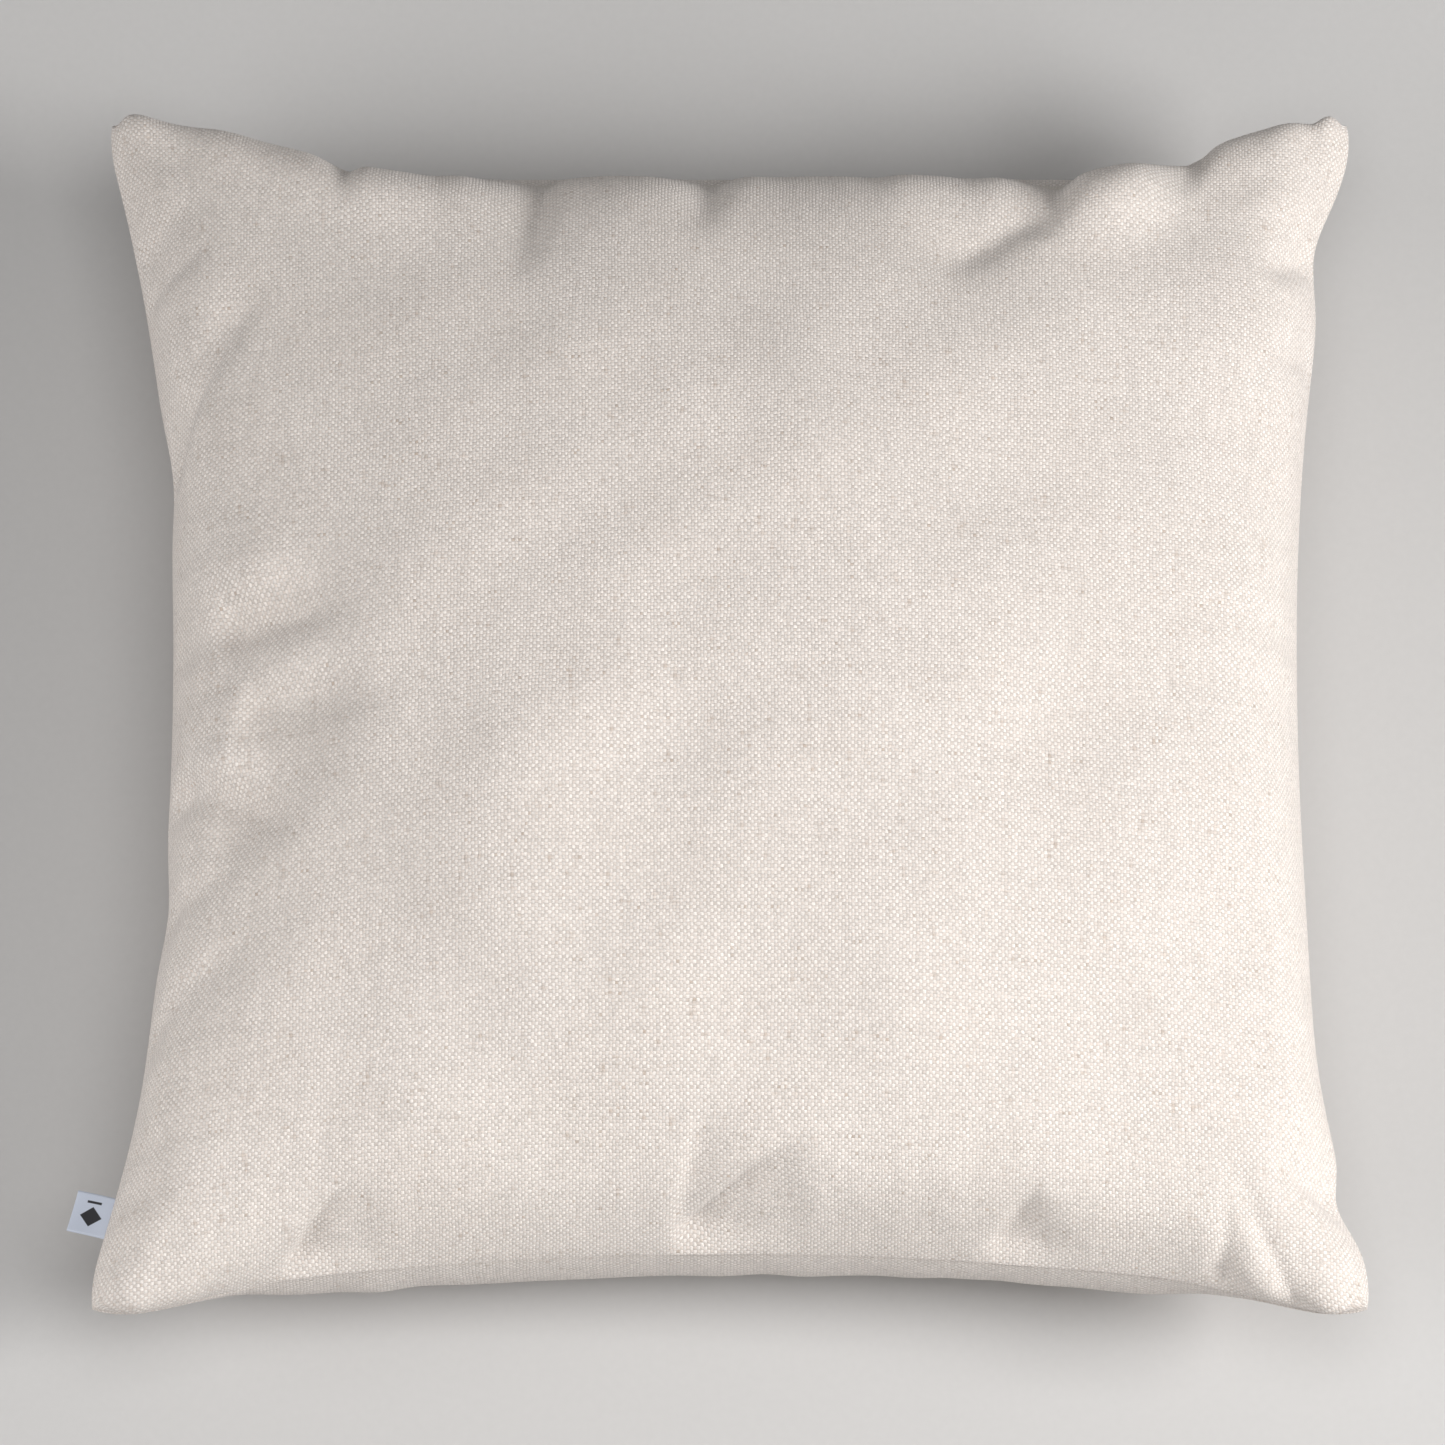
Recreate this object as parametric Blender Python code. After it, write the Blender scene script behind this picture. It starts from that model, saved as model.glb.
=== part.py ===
"""Square floor cushion: a zipped woven cover over a sewn pad of fibre filling.

Frame: metres, +Z up, the floor at z = 0 and the origin at the middle of the resting face.
The labelled seam is on -X and the zip is in the far seam on +Y. Every layer of cloth is the same
pillow surface, drawn a little further in: the surface has one grid of lines, p across and q along,
both running from -1 to 1, so that neighbouring layers stay parallel and never touch.
"""
import math

import bmesh
import bpy
import numpy as np

MM = 0.001

# Overall sizes, corner to corner and floor to crown
SPAN_X = 590 * MM
SPAN_Y = 590 * MM
HEIGHT = 180 * MM
SEAM_Z = 80 * MM
BELLY = 88 * MM          # the depth the lower half would have with no floor under it

# How far each side is drawn in at its middle by the filling
PULL_LEFT = 36 * MM
PULL_RIGHT = 31 * MM
PULL_NEAR = 25 * MM
PULL_FAR = 34 * MM
PULL_POWER = 2.2
FAR_POWER = 1.7

# Cloth, thread and the room left between layers
COVER_CLOTH = 1.0 * MM
PAD_CLOTH = 0.5 * MM
GAP = 0.3 * MM
EDGE_LIP = 4.5 * MM      # half the thickness of the cushion at its seam
SEAM_SLIT = 0.15 * MM    # half the slit between the two panels at a sewn seam
WIDE_SLIT = 0.8 * MM     # the same where the zip or the label passes through
THREAD_RADIUS = 0.3 * MM

# Grid of every layer
LINES = 16

# Zip, in the far seam
ZIP_LENGTH = 400 * MM
ZIP_LIP = 3.0 * MM       # extra lip that stands the far edge upright round the slider
TAPE = 0.5 * MM
COIL_DEPTH = 2.0 * MM
COIL_HEIGHT = 2.2 * MM
COIL_SPLIT = 0.6 * MM    # half the space between the two rows, for the slider's neck
SLIDER_LENGTH = 9.0 * MM
SLIDER_WALL = 0.8 * MM
SLIDER_NECK = 0.4 * MM   # half its thickness
CAP_HALF_HEIGHT = 2.2 * MM
CAP_THICK = 1.6 * MM
STOP_LENGTH = 2.0 * MM
PULL_LENGTH = 26 * MM
PULL_WIDTH = 6.0 * MM
PULL_THICK = 1.0 * MM
BRIDGE_BAR = 0.6 * MM    # half its thickness
BRIDGE_REACH = 2.2 * MM  # from the cap's face to the middle of the bar
EYE_ROOM = 0.3 * MM

# Labels
LABEL_WIDTH = 20 * MM
LABEL_REACH = 20 * MM
LABEL_PLY = 0.35 * MM
LABEL_LINES = (2, 3)     # the two grid lines of the left seam it is sewn between
CARE_LABEL = 0.25 * MM

# Distances inward from the cover's outer face, one layer after another
ALLOWANCE_OUT = COVER_CLOTH + GAP
ALLOWANCE_IN = ALLOWANCE_OUT + COVER_CLOTH
TAPE_OUT = ALLOWANCE_IN + GAP
TAPE_IN = TAPE_OUT + TAPE
COIL_OUT = TAPE_IN + GAP
COIL_IN = COIL_OUT + COIL_DEPTH
SLIDER_BACK = COIL_IN + 0.4 * MM
SLIDER_IN = SLIDER_BACK + SLIDER_WALL
SLIDER_SIDE = COIL_SPLIT + COIL_HEIGHT + 0.4 * MM
THREAD_IN = ALLOWANCE_IN + 0.2 * MM + THREAD_RADIUS
PAD_EDGE = THREAD_IN + THREAD_RADIUS + 0.5 * MM
PAD_FAR_EDGE = SLIDER_IN + 1.4 * MM
PAD_RIM_DROP = ALLOWANCE_IN + 0.6 * MM
PAD_DROP = COVER_CLOTH + 2 * GAP + CARE_LABEL
PAD_THREAD_IN = PAD_CLOTH + 0.2 * MM + THREAD_RADIUS
FILL_EDGE = PAD_THREAD_IN + THREAD_RADIUS + GAP

ZIP_SHARE = ZIP_LENGTH / SPAN_X
FAR_Y = SPAN_Y / 2 - PULL_FAR
COIL_END = ZIP_SHARE * (SPAN_X / 2 - TAPE_IN) - STOP_LENGTH - 2 * GAP
CLOSED_X = COIL_END - GAP - SLIDER_LENGTH / 2

COLOURS = {
    "cover_fabric": ((0.80, 0.75, 0.69, 1.0), 0.95, 0.0),
    "pad_fabric": ((0.86, 0.86, 0.84, 1.0), 0.9, 0.0),
    "fibre": ((0.92, 0.92, 0.90, 1.0), 1.0, 0.0),
    "thread": ((0.78, 0.73, 0.66, 1.0), 0.8, 0.0),
    "zip_tape": ((0.74, 0.70, 0.64, 1.0), 0.85, 0.0),
    "zip_coil": ((0.76, 0.72, 0.66, 1.0), 0.45, 0.0),
    "zip_metal": ((0.55, 0.54, 0.52, 1.0), 0.35, 1.0),
    "label_satin": ((0.80, 0.82, 0.85, 1.0), 0.5, 0.0),
}


# ---------------------------------------------------------------- surfaces

def grid_lines():
    """Positions of the grid lines from -1 to 1, closer together toward the seams.

    The line nearest the end of the zip is moved onto it."""
    lines = np.sin(0.5 * math.pi * np.linspace(-1.0, 1.0, LINES + 1))
    nearest = np.argmin(np.abs(lines - ZIP_SHARE))
    lines[nearest] = ZIP_SHARE
    lines[LINES - nearest] = -ZIP_SHARE
    return lines


def far_pull(across):
    """Share of the far side's pull: all of it along the zip, so that the zip is straight."""
    past = np.clip((across - ZIP_SHARE) / (1.0 - ZIP_SHARE), 0.0, 1.0)
    return 1.0 - past ** FAR_POWER


def outline(p, q, edge, far_edge):
    """Plan position of grid point p, q on a layer whose sides stand in by edge and far_edge.

    A layer that stands in reaches less far along the cushion, so its pull is read less far along."""
    across = np.abs(p) * (1.0 - edge / (SPAN_X / 2))
    along = np.abs(q) * (1.0 - np.where(q < 0, edge, far_edge) / (SPAN_Y / 2))
    left = PULL_LEFT * (1.0 - along ** PULL_POWER)
    right = PULL_RIGHT * (1.0 - along ** PULL_POWER)
    x = p * (SPAN_X / 2 - edge - np.where(p < 0, left, right))
    near = edge + PULL_NEAR * (1.0 - across ** PULL_POWER)
    far = far_edge + PULL_FAR * far_pull(across)
    y = q * (SPAN_Y / 2 - np.where(q < 0, near, far))
    return x, y


def half_lip(p, q):
    """Half the thickness of the cushion at the seam, with the far edge upright at the zip."""
    at_zip = np.where(np.abs(p) <= ZIP_SHARE + 1e-9, 1.0, 0.0)
    return EDGE_LIP + ZIP_LIP * at_zip * np.clip((q - 0.8) / 0.19, 0.0, 1.0)


def layer(side, edge, drop, far_edge=None, rim_drop=None):
    """Grid of points of one layer: side is 1 for the front panel and -1 for the back.

    The height is that of a pillow, the square root of (1 - p^2)(1 - q^2), and the back is cut
    flat by the floor. rim_drop is the drop of the two outermost rings of the grid."""
    lines = grid_lines()
    p, q = np.meshgrid(lines, lines, indexing="ij")
    x, y = outline(p, q, edge, edge if far_edge is None else far_edge)
    rise = np.sqrt(np.clip((1.0 - p ** 2) * (1.0 - q ** 2), 0.0, None))
    count = np.arange(LINES + 1)
    ring = np.minimum(count, LINES - count)
    ring = np.minimum(ring[:, None], ring[None, :])
    drops = np.where(ring < 2, drop if rim_drop is None else rim_drop, drop)
    if side > 0:
        z = SEAM_Z + half_lip(p, q) + (HEIGHT - SEAM_Z - EDGE_LIP) * rise - drops
    else:
        z = np.maximum(SEAM_Z - half_lip(p, q) - BELLY * rise, 0.0) + drops
    return np.stack([x, y, z], axis=-1)


def slit_half():
    """Half the slit round the border: wide at the zip and where the label is sewn in."""
    lines = grid_lines()
    slit = np.full((LINES + 1, LINES + 1), SEAM_SLIT)
    slit[np.abs(lines) <= ZIP_SHARE + 1e-9, LINES] = WIDE_SLIT
    slit[0, list(LABEL_LINES)] = WIDE_SLIT
    return slit


def ring_indices(n, inset=0):
    """Grid indices round a square ring, counter-clockwise from the near left corner."""
    low, high = inset, n - inset
    steps = range(low, high)
    near = [(i, low) for i in steps]
    right = [(high, j) for j in steps]
    far = [(n - i, high) for i in steps]
    left = [(low, n - j) for j in steps]
    return near + right + far + left


class Sheet:
    """Triangles gathered from grids and rings, kept facing outward for the given side."""

    def __init__(self, side):
        self.side = side
        self.points = []
        self.faces = []

    def add_points(self, points):
        """Add an array of points and return its index array."""
        flat = points.reshape(-1, 3)
        start = len(self.points)
        self.points.extend(map(tuple, flat))
        return np.arange(start, start + len(flat)).reshape(points.shape[:-1])

    def triangle(self, a, b, c):
        """Add one triangle, turned for the back panel."""
        self.faces.append((a, b, c) if self.side > 0 else (a, c, b))

    def grid(self, index, outward):
        """Fill a grid. Diagonals mirror about the middle lines and match on every layer."""
        nx, ny = index.shape[0] - 1, index.shape[1] - 1
        for i in range(nx):
            for j in range(ny):
                a, b = index[i, j], index[i + 1, j]
                c, d = index[i + 1, j + 1], index[i, j + 1]
                if (i < nx / 2) == (j < ny / 2):
                    pair = ((a, b, c), (a, c, d))
                else:
                    pair = ((a, b, d), (b, c, d))
                for one, two, three in pair:
                    if outward:
                        self.triangle(one, two, three)
                    else:
                        self.triangle(one, three, two)

    def strip(self, first, second):
        """Fill between two closed rings of equal length; first is the outer or upper one."""
        count = len(first)
        for k in range(count):
            a, b = first[k], first[(k + 1) % count]
            c, d = second[(k + 1) % count], second[k]
            self.triangle(a, d, c)
            self.triangle(a, c, b)


def ring_points(points, indices):
    """The points of a grid along a ring."""
    rows, columns = zip(*indices)
    return points[list(rows), list(columns)]


def at_height(ring, heights):
    """A copy of a ring with its heights replaced."""
    out = ring.copy()
    out[:, 2] = heights
    return out


# ---------------------------------------------------------------- objects

def make_material(slot):
    """The named slot's material, made once."""
    material = bpy.data.materials.get(slot)
    if material:
        return material
    colour, roughness, metallic = COLOURS[slot]
    material = bpy.data.materials.new(slot)
    material.use_nodes = True
    shader = material.node_tree.nodes["Principled BSDF"]
    shader.inputs["Base Color"].default_value = colour
    shader.inputs["Roughness"].default_value = roughness
    shader.inputs["Metallic"].default_value = metallic
    material.diffuse_color = colour
    return material


def make_object(name, points, faces, slot, origin=(0.0, 0.0, 0.0)):
    """One named object with its own origin, from points in the shared frame."""
    mesh = bpy.data.meshes.new(name)
    moved = [tuple(c - o for c, o in zip(point, origin)) for point in points]
    mesh.from_pydata(moved, [], faces)
    mesh.validate()
    work = bmesh.new()
    work.from_mesh(mesh)
    bmesh.ops.recalc_face_normals(work, faces=work.faces)
    work.to_mesh(mesh)
    work.free()
    obj = bpy.data.objects.new(name, mesh)
    obj.location = origin
    bpy.context.scene.collection.objects.link(obj)
    mesh.materials.append(make_material(slot))
    return obj


def prism(section, x0, x1):
    """Points and faces of a (y, z) polygon drawn along X."""
    count = len(section)
    points = [(x0, y, z) for y, z in section] + [(x1, y, z) for y, z in section]
    faces = [tuple(range(count)), tuple(range(2 * count - 1, count - 1, -1))]
    for k in range(count):
        n = (k + 1) % count
        faces.append((k, k + count, n + count, n))
    return points, faces


def box(x, y, z):
    """Points and faces of a box from three (low, high) pairs."""
    section = [(y[0], z[0]), (y[1], z[0]), (y[1], z[1]), (y[0], z[1])]
    return prism(section, x[0], x[1])


def tube(path, radius, closed=False, sides=6):
    """Points and faces of a round tube along a nearly level path."""
    path = np.asarray(path, dtype=float)
    count = len(path)
    if closed:
        heading = np.roll(path, -1, axis=0) - np.roll(path, 1, axis=0)
    else:
        heading = np.gradient(path, axis=0)
    heading /= np.linalg.norm(heading, axis=1, keepdims=True)
    across = np.cross(heading, (0.0, 0.0, 1.0))
    across /= np.linalg.norm(across, axis=1, keepdims=True)
    up = np.cross(across, heading)
    angle = np.linspace(0.0, 2.0 * math.pi, sides, endpoint=False)[None, :, None]
    points = path[:, None, :] + radius * (np.cos(angle) * across[:, None] + np.sin(angle) * up[:, None])
    index = np.arange(count * sides).reshape(count, sides)
    faces = []
    for i in range(count if closed else count - 1):
        n = (i + 1) % count
        for k in range(sides):
            m = (k + 1) % sides
            faces.append((index[i, k], index[i, m], index[n, m], index[n, k]))
    if not closed:
        faces.append(tuple(index[0, ::-1]))
        faces.append(tuple(index[-1]))
    return points.reshape(-1, 3), faces


# ---------------------------------------------------------------- the cover

def cover_panel(name, side):
    """One cover panel: the woven face, folded back inside at the seam as its allowance."""
    sheet = Sheet(side)
    border, inner_ring = ring_indices(LINES), ring_indices(LINES, 1)
    outer = layer(side, 0.0, 0.0)
    inner = layer(side, COVER_CLOTH, COVER_CLOTH)
    allow_out = layer(side, ALLOWANCE_OUT, ALLOWANCE_OUT)
    allow_in = layer(side, ALLOWANCE_IN, ALLOWANCE_IN)
    slit = SEAM_Z + side * ring_points(slit_half(), border)
    root = slit + side * COVER_CLOTH
    outer_index = sheet.add_points(outer)
    inner_index = sheet.add_points(inner)
    sheet.grid(outer_index, True)
    sheet.grid(inner_index, False)

    def border_ring(points, heights=None):
        ring = ring_points(points, border)
        return sheet.add_points(ring if heights is None else at_height(ring, heights))

    chain = [
        ring_points(outer_index, border),
        border_ring(outer, slit),
        border_ring(allow_in, slit),
        border_ring(allow_in),
    ]
    for first, second in zip(chain, chain[1:]):
        sheet.strip(first, second)
    raw_in = sheet.add_points(ring_points(allow_in, inner_ring))
    raw_out = sheet.add_points(ring_points(allow_out, inner_ring))
    uneven_strip(sheet, chain[-1], raw_in)
    sheet.strip(raw_in, raw_out)
    back = [border_ring(allow_out), border_ring(allow_out, root), border_ring(inner, root)]
    uneven_strip(sheet, back[0], raw_out, flip=True)
    back.append(ring_points(inner_index, border))
    for first, second in zip(back, back[1:]):
        sheet.strip(first, second)
    make_object(name, sheet.points, sheet.faces, "cover_fabric")


def uneven_strip(sheet, border, ring, flip=False):
    """Fill between the border ring and the next ring in, which has eight points fewer.

    At each corner the border's corner point and its two neighbours share one inner point."""
    steps = LINES
    for quarter in range(4):
        start, inner_start = quarter * steps, quarter * (steps - 2)

        def outer_at(k):
            return border[(start + k) % len(border)]

        def inner_at(k):
            return ring[(inner_start + k) % len(ring)]

        triangles = [(outer_at(0), inner_at(0), outer_at(1))]
        for k in range(1, steps - 1):
            a, b = outer_at(k), outer_at(k + 1)
            c, d = inner_at(k), inner_at(k - 1)
            if k < steps / 2:
                triangles += [(a, d, c), (a, c, b)]
            else:
                triangles += [(a, d, b), (d, c, b)]
        last = steps - 2
        triangles += [(outer_at(steps - 1), inner_at(last), outer_at(steps))]
        for one, two, three in triangles:
            if flip:
                sheet.triangle(one, three, two)
            else:
                sheet.triangle(one, two, three)


def seam_path(indices):
    """The line of stitches just behind the folds, through the given border points."""
    ring = ring_points(layer(1, THREAD_IN, 0.0), indices)
    return at_height(ring, SEAM_Z)


def seam_threads():
    """Stitching of the four sewn seams; the far one is in two lengths, either side of the zip."""
    last, zip_line = LINES, int(np.argmin(np.abs(grid_lines() - ZIP_SHARE)))
    runs = {
        "seam_thread_near": [(i, 0) for i in range(1, last)],
        "seam_thread_left": [(0, j) for j in range(1, last)],
        "seam_thread_right": [(last, j) for j in range(1, last)],
        "seam_thread_far_left": [(i, last) for i in range(1, last - zip_line)],
        "seam_thread_far_right": [(i, last) for i in range(zip_line + 1, last)],
    }
    for name, indices in runs.items():
        points, faces = tube(seam_path(indices), THREAD_RADIUS)
        make_object(name, points, faces, "thread")


# ---------------------------------------------------------------- the pad

def pad_layer(side, extra, depth):
    """A layer of the pad, extra further in at its edges and depth further in at its faces."""
    return layer(side, PAD_EDGE + extra, PAD_DROP + depth, PAD_FAR_EDGE + extra, PAD_RIM_DROP + depth)


def pad_casing(name, side):
    """One half of the plain pad casing, down to the pad's own seam."""
    sheet = Sheet(side)
    border = ring_indices(LINES)
    outer, inner = pad_layer(side, 0.0, 0.0), pad_layer(side, PAD_CLOTH, PAD_CLOTH)
    outer_index, inner_index = sheet.add_points(outer), sheet.add_points(inner)
    sheet.grid(outer_index, True)
    sheet.grid(inner_index, False)
    level = SEAM_Z + side * SEAM_SLIT
    outer_foot = sheet.add_points(at_height(ring_points(outer, border), level))
    inner_foot = sheet.add_points(at_height(ring_points(inner, border), level))
    sheet.strip(ring_points(outer_index, border), outer_foot)
    sheet.strip(outer_foot, inner_foot)
    sheet.strip(inner_foot, ring_points(inner_index, border))
    make_object(name, sheet.points, sheet.faces, "pad_fabric")


def pad_seam():
    """The pad's closing stitches, one run all the way round."""
    ring = ring_points(pad_layer(1, PAD_THREAD_IN, 0.0), ring_indices(LINES))
    points, faces = tube(at_height(ring, SEAM_Z), THREAD_RADIUS, closed=True)
    make_object("inner_pad_seam_thread", points, faces, "thread")


def filling():
    """The fibre filling, one block that fills the casing."""
    depth = PAD_CLOTH + GAP
    top, bottom = pad_layer(1, FILL_EDGE, depth), pad_layer(-1, FILL_EDGE, depth)
    upper, lower = Sheet(1), Sheet(-1)
    upper.grid(upper.add_points(top), True)
    lower.grid(lower.add_points(bottom), True)
    shift = len(upper.points)
    faces = upper.faces + [tuple(int(v) + shift for v in face) for face in lower.faces]
    border = ring_indices(LINES)
    index = np.arange((LINES + 1) ** 2).reshape(LINES + 1, LINES + 1)
    ring = ring_points(index, border)
    for k in range(len(ring)):
        n = (k + 1) % len(ring)
        a, b, c, d = ring[k], ring[n], ring[n] + shift, ring[k] + shift
        faces += [(a, d, c), (a, c, b)]
    make_object("fibre_filling", upper.points + lower.points, faces, "fibre")


# ---------------------------------------------------------------- the zip

def zip_columns():
    """Grid line numbers along the zip."""
    lines = grid_lines()
    return [i for i in range(LINES + 1) if abs(lines[i]) <= ZIP_SHARE + 1e-9]


def zip_tape(name, side):
    """The zip's tape on one side, sewn flat against the seam allowance."""
    columns = zip_columns()
    out, inn = layer(side, TAPE_OUT, TAPE_OUT), layer(side, TAPE_IN, TAPE_IN)
    foot = SEAM_Z + side * WIDE_SLIT
    rows = []
    for grid in (out, inn):
        edge, raw = grid[columns, LINES], grid[columns, LINES - 1]
        low = edge.copy()
        low[:, 2] = foot
        rows.append((low, edge, raw))
    (low_out, edge_out, raw_out), (low_in, edge_in, raw_in) = rows
    loop = np.stack([low_out, edge_out, raw_out, raw_in, edge_in, low_in], axis=1)
    count, around = loop.shape[:2]
    index = np.arange(count * around).reshape(count, around)
    faces = [(index[0, 0], index[0, 1], index[0, 4], index[0, 5])]
    faces += [(index[0, 1], index[0, 2], index[0, 3], index[0, 4])]
    faces += [(index[-1, 5], index[-1, 4], index[-1, 1], index[-1, 0])]
    faces += [(index[-1, 4], index[-1, 3], index[-1, 2], index[-1, 1])]
    for i in range(count - 1):
        for k in range(around):
            n = (k + 1) % around
            corners = (index[i, k], index[i + 1, k], index[i + 1, n], index[i, n])
            if i < count / 2 - 1:
                faces += [corners[:3], (corners[0], corners[2], corners[3])]
            else:
                faces += [(corners[0], corners[1], corners[3]), corners[1:]]
    make_object(name, loop.reshape(-1, 3), faces, "zip_tape")


def between(side, low, high):
    """Heights of a part lying from low to high off the seam plane, on one side of it."""
    ends = (SEAM_Z + side * low, SEAM_Z + side * high)
    return min(ends), max(ends)


def zip_rows():
    """The two coil rows and the three stops, straight along the far edge."""
    depth = (FAR_Y - COIL_IN, FAR_Y - COIL_OUT)
    row_top = COIL_SPLIT + COIL_HEIGHT
    stop_top = SLIDER_SIDE + SLIDER_WALL / 2
    stop_near, stop_end = COIL_END + GAP, COIL_END + GAP + STOP_LENGTH
    for side, label in ((1, "front"), (-1, "back")):
        rows = between(side, COIL_SPLIT, row_top)
        points, faces = box((-COIL_END, COIL_END), depth, rows)
        make_object("zip_coil_" + label, points, faces, "zip_coil")
        points, faces = box((stop_near, stop_end), depth, between(side, COIL_SPLIT, stop_top))
        make_object("zip_top_stop_" + label, points, faces, "zip_metal")
    heights = (SEAM_Z - stop_top, SEAM_Z + stop_top)
    points, faces = box((-stop_end, -stop_near), depth, heights)
    make_object("zip_bottom_stop", points, faces, "zip_metal")


def bar_tacks():
    """Dense cross stitches that close each end of the zip, in the slit between the folds."""
    half = WIDE_SLIT - GAP
    outer = ZIP_LENGTH / 2 - GAP
    depth = (FAR_Y - ALLOWANCE_IN, FAR_Y - GAP)
    for sign, label in ((-1, "left"), (1, "right")):
        ends = sorted((sign * outer, sign * (outer - 3.0 * MM)))
        points, faces = box(ends, depth, (SEAM_Z - half, SEAM_Z + half))
        make_object("zip_bar_tack_" + label, points, faces, "thread")


def slider_section():
    """The slider's outline across the zip: a back and two sides round the rows, a neck through
    the slit between them, and a cap outside. Depth runs inward from the far edge."""
    cap_in, cap_out = -0.4 * MM, -0.4 * MM - CAP_THICK
    side_out, side_in = SLIDER_SIDE + SLIDER_WALL, SLIDER_SIDE
    half = [
        (cap_out, 0.0), (cap_out, CAP_HALF_HEIGHT), (cap_in, CAP_HALF_HEIGHT),
        (cap_in, SLIDER_NECK), (SLIDER_BACK, SLIDER_NECK), (SLIDER_BACK, side_in),
        (COIL_OUT, side_in), (COIL_OUT, side_out), (SLIDER_IN, side_out), (SLIDER_IN, 0.0),
    ]
    mirrored = [(u, -w) for u, w in reversed(half[1:-1])]
    return [(FAR_Y - u, SEAM_Z + w) for u, w in half[:1] + half[1:-1] + half[-1:] + mirrored]


def bar_depth():
    """Y of the bridge bar's middle, which is the pull's hinge axis."""
    return FAR_Y + 0.4 * MM + CAP_THICK + BRIDGE_REACH


def slider():
    """The slider with the bridge its pull hangs on. The bridge is an arch over the cap."""
    half = SLIDER_LENGTH / 2
    body_points, body_faces = prism(slider_section(), CLOSED_X - half, CLOSED_X + half)
    origin = (CLOSED_X, FAR_Y, SEAM_Z)
    body = make_object("zip_slider", body_points, body_faces, "zip_metal", origin)
    foot_y, bar_y = bar_depth() - BRIDGE_REACH - 0.3 * MM, bar_depth()
    arch = [
        (-half, foot_y), (-half, bar_y + BRIDGE_BAR), (half, bar_y + BRIDGE_BAR), (half, foot_y),
        (half - 1.0 * MM, foot_y), (half - 1.0 * MM, bar_y - BRIDGE_BAR),
        (1.0 * MM - half, bar_y - BRIDGE_BAR), (1.0 * MM - half, foot_y),
    ]
    count = len(arch)
    points = [(CLOSED_X + x, y, SEAM_Z - BRIDGE_BAR) for x, y in arch]
    points += [(CLOSED_X + x, y, SEAM_Z + BRIDGE_BAR) for x, y in arch]
    faces = [tuple(range(count)), tuple(range(2 * count - 1, count - 1, -1))]
    faces += [(k, k + count, (k + 1) % count + count, (k + 1) % count) for k in range(count)]
    bridge = make_object("slider_bridge", points, faces, "zip_metal", origin)
    bridge.hide_render = True
    bridge.display_type = "WIRE"
    join = body.modifiers.new("bridge", "BOOLEAN")
    join.operation = "UNION"
    join.solver = "EXACT"
    join.object = bridge


def slider_pull():
    """The pull: a flat tab hanging from a ring round the bridge bar, all one width along X."""
    bore = (BRIDGE_BAR * math.sqrt(2.0) + EYE_ROOM / 4) / math.cos(math.pi / 8)
    rim = BRIDGE_REACH - EYE_ROOM
    turns = [math.radians(-67.5 + 45.0 * k) for k in range(8)]
    ring = [(rim * math.cos(t), rim * math.sin(t)) for t in turns]
    hole = [(bore * math.cos(t), bore * math.sin(t)) for t in turns]
    neck, half = -rim - 1.2 * MM, PULL_THICK / 2
    tab = [(-half, neck), (-half, -PULL_LENGTH), (half, -PULL_LENGTH), (half, neck)]
    plan = ring + tab + hole
    count, origin = len(plan), (CLOSED_X, bar_depth(), SEAM_Z)
    points = []
    for x in (CLOSED_X - PULL_WIDTH / 2, CLOSED_X + PULL_WIDTH / 2):
        points += [(x, bar_depth() + y, SEAM_Z + z) for y, z in plan]
    ends = [(k, (k + 1) % 8, (k + 1) % 8 + 12, k + 12) for k in range(8)] + [(7, 8, 9, 10, 11, 0)]
    faces = ends + [tuple(count + v for v in reversed(end)) for end in ends]
    for loop in (list(range(12)), list(range(19, 11, -1))):
        faces += [(a, a + count, b + count, b) for a, b in zip(loop, loop[1:] + loop[:1])]
    make_object("zip_pull", points, faces, "zip_metal", origin)


# ---------------------------------------------------------------- labels

def side_label():
    """The folded satin label: two plies from inside the left seam, meeting in a fold outside."""
    edge = layer(1, 0.0, 0.0)[0]
    first, second = edge[LABEL_LINES[0]], edge[LABEL_LINES[1]]
    middle = (first + second) / 2
    along = (second - first) * (1.0, 1.0, 0.0)
    along /= np.linalg.norm(along)
    outward = np.cross(along, (0.0, 0.0, -1.0))
    inner, tip = -1.8 * MM, LABEL_REACH
    apart, half = GAP / 2, GAP / 2 + LABEL_PLY
    section = [
        (inner, apart), (inner, half), (tip, half), (tip, -half),
        (inner, -half), (inner, -apart), (tip - LABEL_PLY, -apart), (tip - LABEL_PLY, apart),
    ]
    count = len(section)
    points = []
    for shift in (-LABEL_WIDTH / 2, LABEL_WIDTH / 2):
        for reach, rise in section:
            spot = middle + along * shift + outward * reach
            points.append((spot[0], spot[1], SEAM_Z + rise))
    faces = [tuple(range(count)), tuple(range(2 * count - 1, count - 1, -1))]
    faces += [(k, k + count, (k + 1) % count + count, (k + 1) % count) for k in range(count)]
    make_object("side_label", points, faces, "label_satin")


def care_label():
    """The blank care label, lying between the back panel and the pad by the left seam."""
    out, inn = (layer(-1, COVER_CLOTH + GAP + d, COVER_CLOTH + GAP + d) for d in (0.0, CARE_LABEL))
    columns, rows = slice(2, 4), slice(6, 8)
    patch_out, patch_in = out[columns, rows], inn[columns, rows]
    points = list(map(tuple, patch_out.reshape(-1, 3))) + list(map(tuple, patch_in.reshape(-1, 3)))
    top = [(0, 2, 3), (0, 3, 1)]
    faces = top + [tuple(v + 4 for v in reversed(face)) for face in top]
    for a, b in ((0, 1), (1, 3), (3, 2), (2, 0)):
        faces += [(a, b, b + 4), (a, b + 4, a + 4)]
    make_object("care_label", points, faces, "label_satin")


# ---------------------------------------------------------------- assembly

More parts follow.
